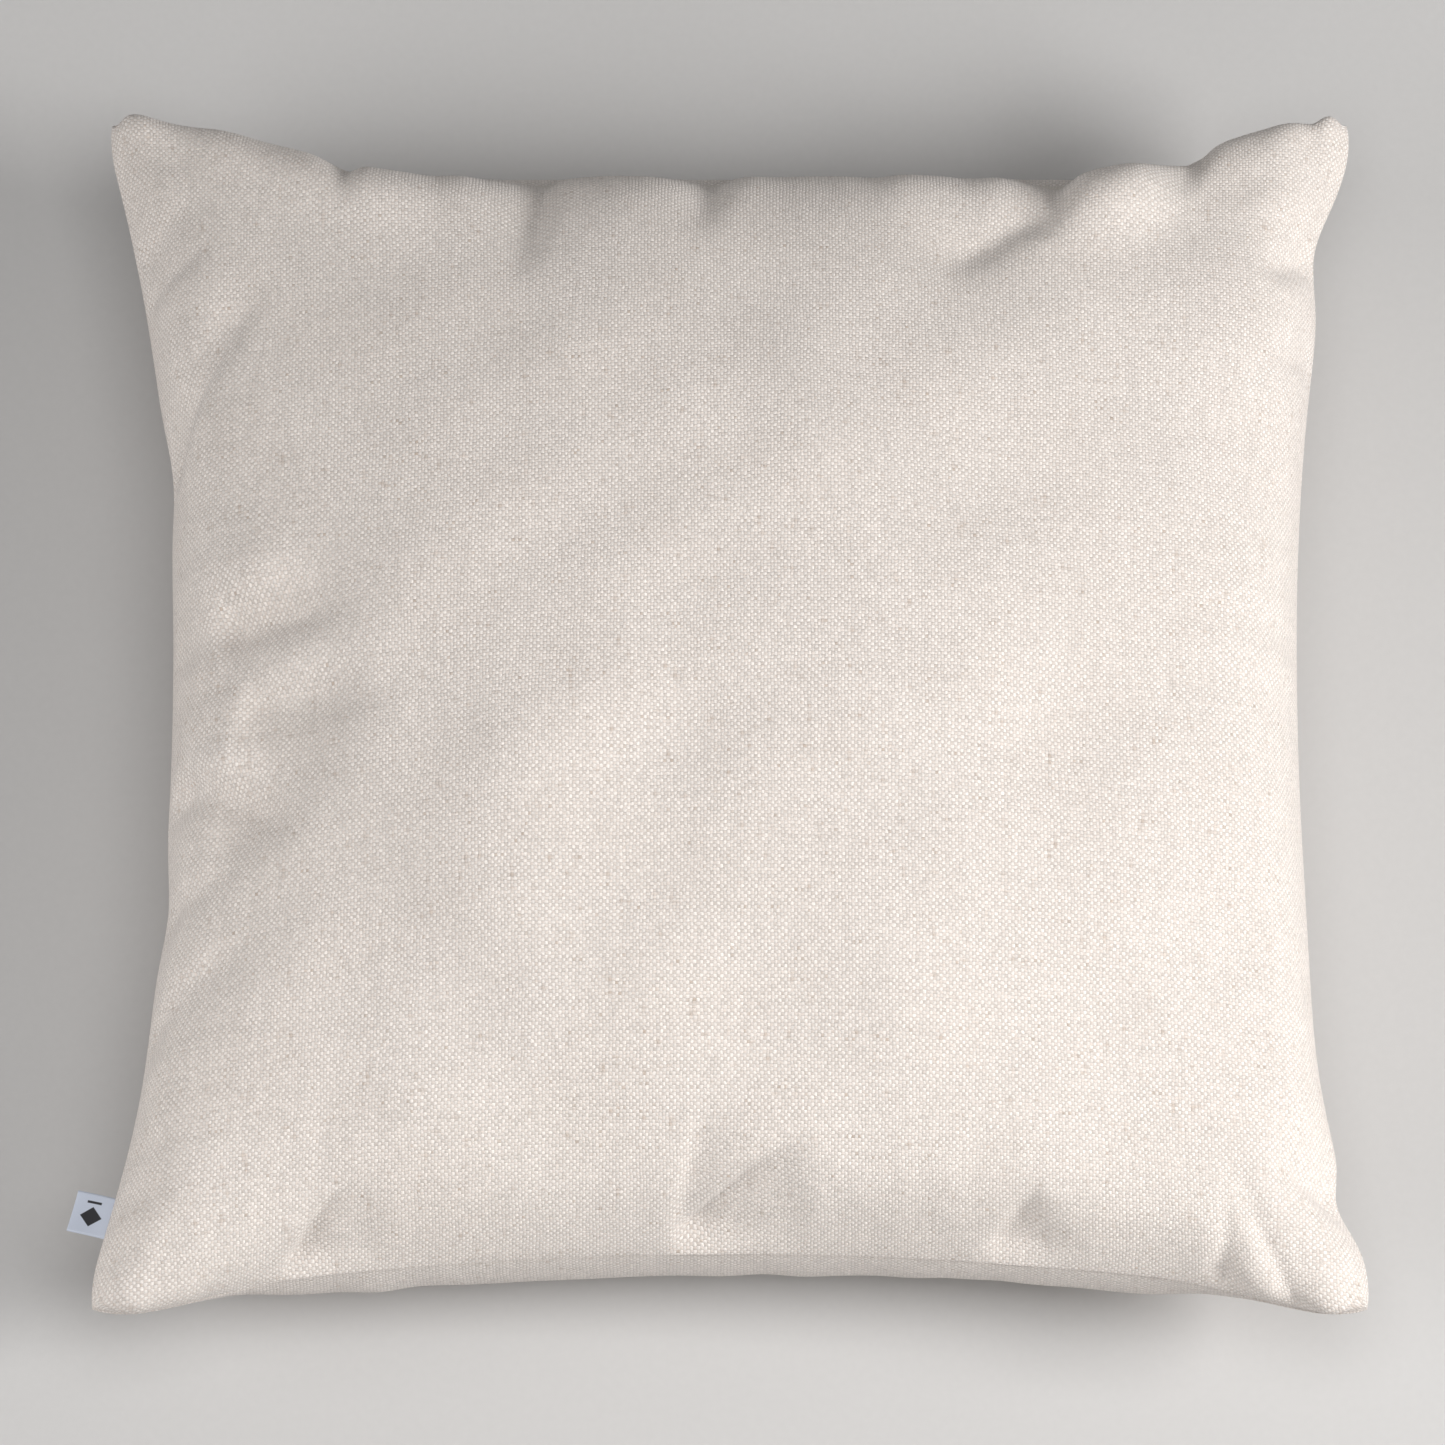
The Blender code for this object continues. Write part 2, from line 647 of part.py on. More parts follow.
def build():
    """Clear the file and build every node."""
    for obj in list(bpy.data.objects):
        bpy.data.objects.remove(obj, do_unlink=True)
    for side, label in ((1, "front"), (-1, "back")):
        cover_panel("cover_" + label + "_panel", side)
        pad_casing("inner_pad_" + label, side)
        zip_tape("zip_tape_" + label, side)
    seam_threads()
    pad_seam()
    filling()
    zip_rows()
    bar_tacks()
    slider()
    slider_pull()
    side_label()
    care_label()


build()
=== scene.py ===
"""Square floor cushion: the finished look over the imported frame.

Each cover panel is a flat square of cloth that a cloth simulation fills, then refined and given its
folds, dents and rolled seam. The weave is drawn along the lengths of the cloth's threads, so it bends
with the cloth. Lengths are in metres.
"""
import logging
import math
from dataclasses import dataclass, field
from enum import Enum
from typing import Dict, List, Optional, Sequence, Tuple, Union

import bpy
import numpy as np
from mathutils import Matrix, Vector

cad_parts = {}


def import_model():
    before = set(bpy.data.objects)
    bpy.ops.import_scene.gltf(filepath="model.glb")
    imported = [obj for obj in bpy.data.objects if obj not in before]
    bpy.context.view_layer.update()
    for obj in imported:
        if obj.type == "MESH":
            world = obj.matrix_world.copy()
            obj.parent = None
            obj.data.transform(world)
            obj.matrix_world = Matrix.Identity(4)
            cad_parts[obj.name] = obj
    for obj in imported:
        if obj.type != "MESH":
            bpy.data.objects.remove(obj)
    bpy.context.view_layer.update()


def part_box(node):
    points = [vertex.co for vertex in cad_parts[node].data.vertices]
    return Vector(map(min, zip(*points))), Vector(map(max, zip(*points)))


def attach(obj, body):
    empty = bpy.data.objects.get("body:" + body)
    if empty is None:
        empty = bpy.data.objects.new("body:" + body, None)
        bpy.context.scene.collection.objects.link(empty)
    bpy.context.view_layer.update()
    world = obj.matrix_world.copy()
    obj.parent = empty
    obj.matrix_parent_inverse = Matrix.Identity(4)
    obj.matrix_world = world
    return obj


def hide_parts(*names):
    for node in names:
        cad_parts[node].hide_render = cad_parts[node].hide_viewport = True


log = logging.getLogger("cushion")
MM = 0.001
UV_NAME = "OFBake"
SEAM_GAP = 0.25 * MM
STITCH_STEPS = 6
Colour = Tuple[float, float, float]
Place = Tuple[float, float, float]
Socket = bpy.types.NodeSocket
Input = Union[Socket, float, Sequence[float]]


class Face(Enum):
    """The two panels; the value is the way the panel bulges along Z."""

    FRONT = 1
    BACK = -1


class Side(Enum):
    """The two sides that run along Y; the value is their way along X."""

    LEFT = -1
    RIGHT = 1


# ---------------------------------------------------------------- grids of points

def unit(vectors: np.ndarray) -> np.ndarray:
    """Scale vectors to length one.

    Args:
        vectors: an array whose last axis is X, Y, Z.
    Returns:
        The same array with each vector at length one.
    """
    length = np.linalg.norm(vectors, axis=-1, keepdims=True)
    return vectors / np.maximum(length, 1e-12)


def smooth_step(low: float, high: float, value: np.ndarray) -> np.ndarray:
    """Rise smoothly from 0 at low to 1 at high.

    Args:
        low: where the rise starts.
        high: where it ends; it may be less than low.
        value: where to read it.
    Returns:
        3t^2 - 2t^3 of the clamped share t.
    """
    share = np.clip((value - low) / (high - low), 0.0, 1.0)
    return share * share * (3.0 - 2.0 * share)


def hump(gap: np.ndarray, reach: float) -> np.ndarray:
    """A rise that leaves the seam, peaks at 1 one reach away and dies off.

    Args:
        gap: distance from the seam.
        reach: distance of the peak.
    Returns:
        (gap / reach) e^(1 - gap / reach).
    """
    return (gap / reach) * np.exp(1.0 - gap / reach)


def refine_matrix(count: int, factor: int) -> np.ndarray:
    """Weights that read a line of points at finer steps with a cubic through four neighbours.

    Args:
        count: number of coarse points.
        factor: fine steps to each coarse step.
    Returns:
        An array of (fine points, coarse points); every row sums to 1.
    """
    fine = np.arange((count - 1) * factor + 1) / factor
    base = np.minimum(fine.astype(int), count - 2)
    t = fine - base
    weights = np.stack([
        -0.5 * t + t ** 2 - 0.5 * t ** 3,
        1.0 - 2.5 * t ** 2 + 1.5 * t ** 3,
        0.5 * t + 2.0 * t ** 2 - 1.5 * t ** 3,
        -0.5 * t ** 2 + 0.5 * t ** 3,
    ], axis=1)
    padded = np.zeros((len(fine), count + 2))
    np.add.at(padded, (np.arange(len(fine))[:, None], base[:, None] + np.arange(4)), weights)
    matrix = padded[:, 1:-1].copy()
    matrix[:, 0] += 2.0 * padded[:, 0]
    matrix[:, 1] -= padded[:, 0]
    matrix[:, -1] += 2.0 * padded[:, -1]
    matrix[:, -2] -= padded[:, -1]
    return matrix


def refine(grid: np.ndarray, factor: int) -> np.ndarray:
    """Read a grid at finer steps both ways.

    Args:
        grid: (rows, columns, channels).
        factor: fine steps to each coarse step.
    Returns:
        The finer grid.
    """
    rows = refine_matrix(grid.shape[0], factor)
    columns = refine_matrix(grid.shape[1], factor)
    return np.einsum("ai,bj,ijc->abc", rows, columns, grid, optimize=True)


def relax(grid: np.ndarray, passes: int) -> np.ndarray:
    """Average each inner point with its neighbours (1, 2, 1 both ways), the border held.

    Args:
        grid: (rows, columns, 3).
        passes: how many times.
    Returns:
        The smoother grid.
    """
    out = grid.copy()
    for _ in range(passes):
        half = (out[:-2] + 2.0 * out[1:-1] + out[2:]) / 4.0
        out[1:-1, 1:-1] = (half[:, :-2] + 2.0 * half[:, 1:-1] + half[:, 2:]) / 4.0
    return out


def grid_normals(grid: np.ndarray, face: Face) -> np.ndarray:
    """Outward normals of a panel's grid.

    Args:
        grid: (rows, columns, 3), rows along X and columns along Y.
        face: the panel.
    Returns:
        Unit normals of the same shape.
    """
    along = np.gradient(grid, axis=0)
    across = np.gradient(grid, axis=1)
    return unit(np.cross(along, across)) * face.value


def ring_of(grid: np.ndarray) -> np.ndarray:
    """The border of a grid as one ring, counter-clockwise from the near left corner.

    Args:
        grid: (rows, columns, ...).
    Returns:
        The border entries in order, the first not repeated.
    """
    return np.concatenate([grid[:-1, 0], grid[-1, :-1], grid[:0:-1, -1], grid[0, :0:-1]])


def grid_quads(index: np.ndarray) -> np.ndarray:
    """Quads of a grid of point numbers.

    Args:
        index: (rows, columns) point numbers.
    Returns:
        (quads, 4) point numbers, turned to face up where rows run along X.
    """
    corners = [index[:-1, :-1], index[1:, :-1], index[1:, 1:], index[:-1, 1:]]
    return np.stack(corners, axis=-1).reshape(-1, 4)


def strip_quads(index: np.ndarray) -> np.ndarray:
    """Quads between successive closed rings of point numbers.

    Args:
        index: (rings, points round each).
    Returns:
        (quads, 4) point numbers.
    """
    nxt = np.roll(index, -1, axis=1)
    corners = [index[:-1], index[1:], nxt[1:], nxt[:-1]]
    return np.stack(corners, axis=-1).reshape(-1, 4)


def add_mesh(
    name: str, points: np.ndarray, faces: Sequence, uv: Optional[np.ndarray] = None,
) -> bpy.types.Object:
    """Make a smooth-shaded object at the origin.

    Args:
        name: the piece's name.
        points: (points, 3).
        faces: lists or rows of point numbers.
        uv: (points, 2) flat coordinates, one for each point.
    Returns:
        The new object, linked to the scene.
    """
    mesh = bpy.data.meshes.new(name)
    mesh.from_pydata(points.tolist(), [], [list(map(int, face)) for face in faces])
    mesh.update()
    if uv is not None:
        loops = np.empty(len(mesh.loops), dtype=np.int32)
        mesh.loops.foreach_get("vertex_index", loops)
        layer = mesh.uv_layers.new(name=UV_NAME)
        layer.data.foreach_set("uv", uv[loops].astype(np.float32).ravel())
    mesh.shade_smooth()
    obj = bpy.data.objects.new(name, mesh)
    bpy.context.scene.collection.objects.link(obj)
    return obj


def level_square(name: str, half: float) -> bpy.types.Object:
    """Make a flat square on the floor plane.

    Args:
        name: its name.
        half: half its side.
    Returns:
        The object.
    """
    corners = np.array([(-half, -half, 0.0), (half, -half, 0.0), (half, half, 0.0), (-half, half, 0.0)])
    return add_mesh(name, corners, [(0, 1, 2, 3)])


def thicken(obj: bpy.types.Object, thickness: float) -> None:
    """Give a sheet its thickness, inward from its outer face.

    Args:
        obj: the sheet.
        thickness: its thickness.
    """
    solid = obj.modifiers.new("cloth", "SOLIDIFY")
    solid.thickness = thickness
    solid.offset = -1.0


def tube(
    path: np.ndarray, radius: float, sides: int = 5, fixed: Place = (0.0, 0.0, 1.0),
) -> Tuple[np.ndarray, List]:
    """A closed tube along a path: a regular polygon carried square to the path, capped at both ends.

    The polygon's first axis is the path's direction crossed with a fixed one, the second is square to both.

    Args:
        path: (points, 3), nowhere along the fixed direction.
        radius: the tube's radius.
        sides: corners of the polygon.
        fixed: the fixed direction.
    Returns:
        Points, and faces as lists of point numbers.
    """
    along = unit(np.gradient(path, axis=0))
    side = unit(np.cross(along, fixed))
    up = np.cross(side, along)
    turn = np.arange(sides) * 2.0 * math.pi / sides
    ring = np.cos(turn)[:, None, None] * side + np.sin(turn)[:, None, None] * up
    points = (path + radius * ring).transpose(1, 0, 2).reshape(-1, 3)
    index = np.arange(len(points)).reshape(len(path), sides)
    faces = [list(face) for face in strip_quads(index)[:, ::-1]]
    return points, faces + [list(index[0]), list(index[-1][::-1])]


# ---------------------------------------------------------------- finishes

class Graph:
    """A short way to write a material's node graph."""

    def __init__(self, name: str) -> None:
        """Start a material with one Principled shader.

        Args:
            name: the material's name.
        """
        self.material = bpy.data.materials.new(name)
        self.material.use_nodes = True
        self.tree = self.material.node_tree
        self.shader = self.tree.nodes["Principled BSDF"]

    def node(self, kind: str, **settings: object) -> bpy.types.Node:
        """Add a node.

        Args:
            kind: Blender's type name.
            settings: attributes to set on it.
        Returns:
            The node.
        """
        made = self.tree.nodes.new(kind)
        for key, value in settings.items():
            setattr(made, key, value)
        return made

    def feed(self, socket: Socket, value: Input) -> None:
        """Link a socket to another, or set it to a constant.

        Args:
            socket: the input.
            value: an output socket, or a number or tuple.
        """
        if isinstance(value, Socket):
            self.tree.links.new(value, socket)
        else:
            socket.default_value = value

    def math(self, operation: str, first: Input, second: Input = 0.0) -> Socket:
        """One Math node.

        Args:
            operation: its operation.
            first: the first input.
            second: the second input.
        Returns:
            The output socket.
        """
        made = self.node("ShaderNodeMath", operation=operation)
        self.feed(made.inputs[0], first)
        self.feed(made.inputs[1], second)
        return made.outputs[0]

    def times(self, first: Input, second: Input) -> Socket:
        """The product of two inputs."""
        return self.math("MULTIPLY", first, second)

    def plus(self, first: Input, second: Input) -> Socket:
        """The sum of two inputs."""
        return self.math("ADD", first, second)

    def minus(self, first: Input, second: Input) -> Socket:
        """The first input less the second."""
        return self.math("SUBTRACT", first, second)

    def ramp(
        self, value: Input, low: float, high: float, to_low: float = 0.0, to_high: float = 1.0,
    ) -> Socket:
        """A smooth Map Range.

        Args:
            value: the input.
            low: input that gives to_low.
            high: input that gives to_high.
            to_low: the lower output.
            to_high: the upper output.
        Returns:
            The output socket.
        """
        made = self.node("ShaderNodeMapRange", interpolation_type="SMOOTHSTEP")
        for socket, item in zip(made.inputs, (value, low, high, to_low, to_high)):
            self.feed(socket, item)
        return made.outputs[0]

    def mix(self, share: Input, first: Input, second: Input) -> Socket:
        """Mix two colours.

        Args:
            share: how much of the second.
            first: a colour or socket.
            second: a colour or socket.
        Returns:
            The output socket.
        """
        made = self.node("ShaderNodeMix", data_type="RGBA")
        self.feed(made.inputs[0], share)
        for socket, item in ((made.inputs[6], first), (made.inputs[7], second)):
            self.feed(socket, (*item, 1.0) if isinstance(item, tuple) and len(item) == 3 else item)
        return made.outputs[2]

    def vector(self, x: Input = 0.0, y: Input = 0.0, z: Input = 0.0) -> Socket:
        """Combine three numbers.

        Args:
            x: the first.
            y: the second.
            z: the third.
        Returns:
            The output socket.
        """
        made = self.node("ShaderNodeCombineXYZ")
        for socket, item in zip(made.inputs, (x, y, z)):
            self.feed(socket, item)
        return made.outputs[0]

    def noise(self, vector: Socket, scale: float, detail: float = 2.0, rough: float = 0.5) -> Socket:
        """Noise from 0 to 1, mostly near the middle.

        Args:
            vector: where to read it.
            scale: its scale.
            detail: octaves.
            rough: share of the finer octaves.
        Returns:
            The output socket.
        """
        made = self.node("ShaderNodeTexNoise")
        self.feed(made.inputs["Vector"], vector)
        made.inputs["Scale"].default_value = scale
        made.inputs["Detail"].default_value = detail
        made.inputs["Roughness"].default_value = rough
        return made.outputs["Fac"]

    def bump(self, height: Socket, strength: float, distance: float) -> None:
        """Feed the shader's normal from a height.

        Args:
            height: the height, about 0 to 1.
            strength: the node's strength.
            distance: the real height of 1, in metres.
        """
        made = self.node("ShaderNodeBump")
        made.inputs["Strength"].default_value = strength
        made.inputs["Distance"].default_value = distance
        self.feed(made.inputs["Height"], height)
        self.feed(self.shader.inputs["Normal"], made.outputs[0])

    def object_position(self) -> Socket:
        """The point on the piece, in metres."""
        return self.node("ShaderNodeTexCoord").outputs["Object"]

    def flat_position(self, scale_x: float, scale_y: float) -> Tuple[Socket, Socket]:
        """The piece's flat coordinates, scaled.

        Args:
            scale_x: steps across the whole piece.
            scale_y: steps along the whole piece.
        Returns:
            The X and Y output sockets.
        """
        flat = self.node("ShaderNodeUVMap", uv_map=UV_NAME).outputs[0]
        split = self.node("ShaderNodeSeparateXYZ")
        self.feed(split.inputs[0], flat)
        return self.times(split.outputs[0], scale_x), self.times(split.outputs[1], scale_y)


@dataclass(frozen=True)
class WovenFinish:
    """Plain weave of white warp and oatmeal weft, with slubs and a soft fuzz.

    The yarns are counted in crossings along the cloth's threads. Width is the length of cloth that one
    unit of the flat coordinates stands for."""

    name: str = "cover_weave"
    width: float = 0.690
    warp_pitch: float = 1.52 * MM
    weft_pitch: float = 1.57 * MM
    warp: Colour = (0.862, 0.806, 0.762)
    weft: Colour = (0.715, 0.641, 0.588)
    slub: Colour = (0.46, 0.35, 0.27)
    slub_share: float = 0.6
    slub_band: Tuple[float, float] = (0.58, 0.72)
    tint_spread: Tuple[float, float] = (0.96, 1.035)
    drift: float = 1.2
    wander: float = 0.7
    haze_share: float = 0.04
    fibre_scale: float = 1100.0
    fibre_shade: Tuple[float, float] = (0.86, 1.10)
    # painted shade: how dark the cloth is painted in the low gaps between the yarns
    painted_gap_shade: float = 0.74
    crossing_spread: float = 0.14
    fibre_relief: float = 0.25
    bump_strength: float = 0.65
    relief: float = 0.35 * MM
    roughness: float = 0.92
    specular: float = 0.25
    sheen: float = 0.25
    sheen_roughness: float = 0.6

    def yarn(self, graph: Graph, number: Socket, run: Socket, base: Colour, offset: float) -> Socket:
        """Colour of one set of yarns: each has its own tint, and beige slubs along it.

        Args:
            graph: the material.
            number: the yarn's number.
            run: the position along it, in crossings.
            base: its plain colour.
            offset: keeps the two sets apart in the noise.
        Returns:
            The colour socket.
        """
        own = graph.vector(graph.times(number, 3.71), graph.times(run, 0.035), offset)
        tint = graph.noise(own, 1.0, 1.0)
        spot = graph.vector(graph.times(number, 1.93), graph.times(run, 0.13), offset + 7.0)
        fleck = graph.ramp(graph.noise(spot, 1.0, 3.0, 0.75), *self.slub_band, 0.0, self.slub_share)
        dark, pale = (tuple(c * share for c in base) for share in self.tint_spread)
        shade = graph.mix(graph.ramp(tint, 0.3, 0.7), dark, pale)
        return graph.mix(fleck, shade, self.slub)

    def threads(self, graph: Graph) -> Tuple[Socket, Socket]:
        """Positions across the warp and across the weft, in threads, bent a little by slow noise.

        Args:
            graph: the material.
        Returns:
            The X and Y sockets.
        """
        x, y = graph.flat_position(self.width / self.warp_pitch, self.width / self.weft_pitch)
        place = graph.vector(x, y)
        drift = graph.times(graph.noise(place, 0.07, 2.0), self.drift)
        wander = graph.times(graph.noise(place, 0.55, 2.0), self.wander)
        x = graph.plus(x, graph.plus(drift, wander))
        y = graph.plus(y, graph.times(graph.noise(graph.vector(y, x, 5.0), 0.5, 2.0), self.wander))
        return x, y

    def top_height(self, graph: Graph, in_x: Socket, in_y: Socket, over: Socket) -> Socket:
        """Height of the yarn on top: cosine across it, times 1/2 + 1/2 cosine along it.

        Args:
            graph: the material.
            in_x: place within the crossing, -1/2 to 1/2 across the warp.
            in_y: the same across the weft.
            over: 0 where the warp is on top, 1 where the weft is.
        Returns:
            The height socket, 0 to 1.
        """
        round_x = graph.math("COSINE", graph.times(in_x, math.pi))
        round_y = graph.math("COSINE", graph.times(in_y, math.pi))
        top = graph.node("ShaderNodeMix", data_type="FLOAT")
        graph.feed(top.inputs[0], over)
        graph.feed(top.inputs[2], graph.times(round_x, graph.plus(graph.times(round_y, 0.5), 0.5)))
        graph.feed(top.inputs[3], graph.times(round_y, graph.plus(graph.times(round_x, 0.5), 0.5)))
        return top.outputs[0]

    def build(self) -> bpy.types.Material:
        """Make the material.

        Returns:
            The material.
        """
        graph = Graph(self.name)
        x, y = self.threads(graph)
        number_x, number_y = graph.math("FLOOR", x), graph.math("FLOOR", y)
        in_x = graph.minus(graph.minus(x, number_x), 0.5)
        in_y = graph.minus(graph.minus(y, number_y), 0.5)
        over = graph.math("FLOORED_MODULO", graph.plus(number_x, number_y), 2.0)
        height = self.top_height(graph, in_x, in_y, over)
        warp = self.yarn(graph, number_x, y, self.warp, 0.0)
        weft = self.yarn(graph, number_y, x, self.weft, 31.0)
        position = graph.object_position()
        haze = graph.ramp(graph.noise(position, 22.0, 3.0, 0.6), 0.40, 0.68, 0.0, self.haze_share)
        colour = graph.mix(haze, graph.mix(over, warp, weft), self.slub)
        fibre = graph.noise(position, self.fibre_scale, 4.0, 0.75)
        crossing = graph.node("ShaderNodeTexWhiteNoise", noise_dimensions="2D")
        graph.feed(crossing.inputs["Vector"], graph.vector(number_x, number_y))
        own = graph.plus(
            graph.times(crossing.outputs["Value"], self.crossing_spread), 1.0 - self.crossing_spread / 2.0)
        # painted shade in the low gaps between the yarns, times the random fibre noise and each crossing's
        # own random tone
        gap = graph.ramp(height, 0.0, 0.5, self.painted_gap_shade, 1.0)
        shade = graph.times(graph.times(gap, graph.ramp(fibre, 0.35, 0.65, *self.fibre_shade)), own)
        tone = graph.node("ShaderNodeMix", data_type="RGBA", blend_type="MULTIPLY")
        tone.inputs[0].default_value = 1.0
        graph.feed(tone.inputs[6], colour)
        graph.feed(tone.inputs[7], graph.vector(shade, shade, shade))
        graph.feed(graph.shader.inputs["Base Color"], tone.outputs[2])
        graph.shader.inputs["Roughness"].default_value = self.roughness
        graph.shader.inputs["Specular IOR Level"].default_value = self.specular
        graph.shader.inputs["Sheen Weight"].default_value = self.sheen
        graph.shader.inputs["Sheen Roughness"].default_value = self.sheen_roughness
        graph.bump(graph.plus(height, graph.times(fibre, self.fibre_relief)), self.bump_strength, self.relief)
        return graph.material


@dataclass(frozen=True)
class BandFinish:
    """Fine ribbed cloth on flat coordinates: pad casing, zip tape or label satin.

    Across and along count the ribs over the whole piece, each way."""

    name: str
    colour: Colour
    across: float
    along: float
    contrast: float = 0.12
    roughness: float = 0.85
    sheen: float = 0.15
    relief: float = 0.12 * MM
    rib_height: float = 0.3
    pick_height: float = 0.2
    grain_scale: float = 1500.0
    grain_share: float = 0.3

    def pattern(self, graph: Graph) -> Socket:
        """Height of the ribs: 1/2 plus two sets of cosine threads, the first bolder.

        Args:
            graph: the material.
        Returns:
            The height socket.
        """
        x, y = graph.flat_position(self.across, self.along)
        rib = graph.math("COSINE", graph.times(x, 2.0 * math.pi))
        pick = graph.math("COSINE", graph.times(y, 2.0 * math.pi))
        both = graph.plus(graph.times(rib, self.rib_height), graph.times(pick, self.pick_height))
        return graph.plus(both, 0.5)

    def build(self) -> bpy.types.Material:
        """Make the material.

        Returns:
            The material.
        """
        graph = Graph(self.name)
        height = self.pattern(graph)
        grain = graph.noise(graph.object_position(), self.grain_scale, 3.0)
        # painted shade: the cloth is painted darker where its ribs are low, mixed with a share of random
        # grain
        share = graph.plus(
            graph.times(height, 1.0 - self.grain_share), graph.times(grain, self.grain_share))
        dark = tuple(c * (1.0 - self.contrast) for c in self.colour)
        self.paint(graph, graph.mix(share, dark, self.colour))
        graph.shader.inputs["Roughness"].default_value = self.roughness
        graph.shader.inputs["Sheen Weight"].default_value = self.sheen
        graph.bump(height, 0.6, self.relief)
        return graph.material

    def paint(self, graph: Graph, colour: Socket) -> None:
        """Feed the colour to the shader.

        Args:
            graph: the material.
            colour: the colour socket.
        """
        graph.feed(graph.shader.inputs["Base Color"], colour)


@dataclass(frozen=True)
class LabelFinish(BandFinish):
    """Cool white satin with a plain dark lozenge and a short bar woven into the upper ply.

    The mark's places and half sizes are shares of the label, across and along."""

    ink: Colour = (0.018, 0.018, 0.022)
    centre: float = 0.27
    half_long: float = 0.125
    half_wide: float = 0.24
    lozenge_at: float = 0.44
    lozenge_edge: Tuple[float, float] = (1.04, 0.98)
    bar_at: float = 0.79
    bar_wide_edge: Tuple[float, float] = (0.035, 0.025)
    bar_long_edge: Tuple[float, float] = (0.085, 0.08)

    def paint(self, graph: Graph, colour: Socket) -> None:
        """Feed the cloth's colour with the mark over it.

        Args:
            graph: the material.
            colour: the colour socket.
        """
        x, y = graph.flat_position(1.0, 1.0)
        off_x = graph.math("ABSOLUTE", graph.minus(x, self.lozenge_at))
        off_y = graph.math("ABSOLUTE", graph.minus(y, self.centre))
        off_bar = graph.math("ABSOLUTE", graph.minus(x, self.bar_at))
        wide = graph.math("DIVIDE", off_x, self.half_wide)
        long = graph.math("DIVIDE", off_y, self.half_long)
        lozenge = graph.ramp(graph.plus(wide, long), *self.lozenge_edge)
        bar_x = graph.ramp(off_bar, *self.bar_wide_edge)
        bar_y = graph.ramp(off_y, *self.bar_long_edge)
        mark = graph.math("MAXIMUM", lozenge, graph.times(bar_x, bar_y))
        graph.feed(graph.shader.inputs["Base Color"], graph.mix(mark, colour, self.ink))


@dataclass(frozen=True)
class FineFinish:
    """A solid surface with fine grain: thread, nylon, metal or fibre."""

    name: str
    colour: Colour
    grain: float
    contrast: float = 0.15
    roughness: float = 0.6
    metal: float = 0.0
    relief: float = 0.05 * MM
    stretch: Tuple[float, float, float] = (1.0, 1.0, 1.0)

    def build(self) -> bpy.types.Material:
        """Make the material.

        Returns:
            The material.
        """
        graph = Graph(self.name)
        place = graph.node("ShaderNodeMapping")
        graph.feed(place.inputs["Vector"], graph.object_position())
        place.inputs["Scale"].default_value = self.stretch
        grain = graph.noise(place.outputs[0], self.grain, 4.0, 0.6)
        wear = graph.noise(graph.object_position(), self.grain * 0.17, 2.0)
        dark = tuple(c * (1.0 - self.contrast) for c in self.colour)
        pale = tuple(min(c * (1.0 + 0.5 * self.contrast), 1.0) for c in self.colour)
        tone = graph.mix(graph.ramp(grain, 0.3, 0.7), dark, self.colour)
        graph.feed(graph.shader.inputs["Base Color"], graph.mix(graph.ramp(wear, 0.45, 0.75), tone, pale))
        rough = graph.ramp(grain, 0.2, 0.8, self.roughness * 0.85, min(self.roughness * 1.15, 1.0))
        graph.feed(graph.shader.inputs["Roughness"], rough)
        graph.shader.inputs["Metallic"].default_value = self.metal
        graph.bump(grain, 0.5, self.relief)
        return graph.material


THREAD = FineFinish("sewing_thread", (0.80, 0.74, 0.67), 2400.0, 0.2, 0.8, stretch=(0.4, 1.0, 1.0))
FIBRE = FineFinish("hollow_fibre", (0.90, 0.90, 0.88), 120.0, 0.12, 0.95, relief=1.5 * MM)
NYLON = FineFinish("zip_nylon", (0.74, 0.69, 0.62), 900.0, 0.12, 0.4)
METAL = FineFinish(
    "brushed_zinc", (0.58, 0.57, 0.55), 900.0, 0.25, 0.33,
    metal=1.0, relief=0.03 * MM, stretch=(0.15, 1.0, 1.0),
)
CASING = BandFinish("pad_casing_cloth", (0.84, 0.84, 0.82), 180.0, 180.0)
TAPE = BandFinish("zip_tape_twill", (0.76, 0.70, 0.63), 300.0, 14.0, 0.2)
SATIN = LabelFinish("label_satin", (0.60, 0.65, 0.76), 60.0, 110.0, 0.08, 0.45, 0.3, 0.05 * MM)
PLAIN_SATIN = BandFinish("care_satin", (0.80, 0.81, 0.82), 80.0, 120.0, 0.08, 0.5, 0.2, 0.05 * MM)


@dataclass(frozen=True)
class FloorFinish:
    """Smooth pale studio floor with the faintest grain."""

    name: str = "pale_floor"
    colour: Colour = (0.56, 0.552, 0.545)

    def build(self) -> bpy.types.Material:
        """Make the material.

        Returns:
            The material.
        """
        graph = Graph(self.name)
        grain = graph.noise(graph.object_position(), 260.0, 3.0)
        light, dark = tuple(c * 1.02 for c in self.colour), tuple(c * 0.97 for c in self.colour)
        graph.feed(graph.shader.inputs["Base Color"], graph.mix(grain, dark, light))
        graph.shader.inputs["Roughness"].default_value = 0.85
        graph.bump(grain, 0.15, 0.2 * MM)
        return graph.material


def dress(obj: bpy.types.Object, material: bpy.types.Material) -> None:
    """Give a piece its material, and let it ride on the cushion.

    Args:
        obj: the piece.
        material: its material.
    """
    obj.data.materials.clear()
    obj.data.materials.append(material)
    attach(obj, "cushion")


# ---------------------------------------------------------------- the filled cover

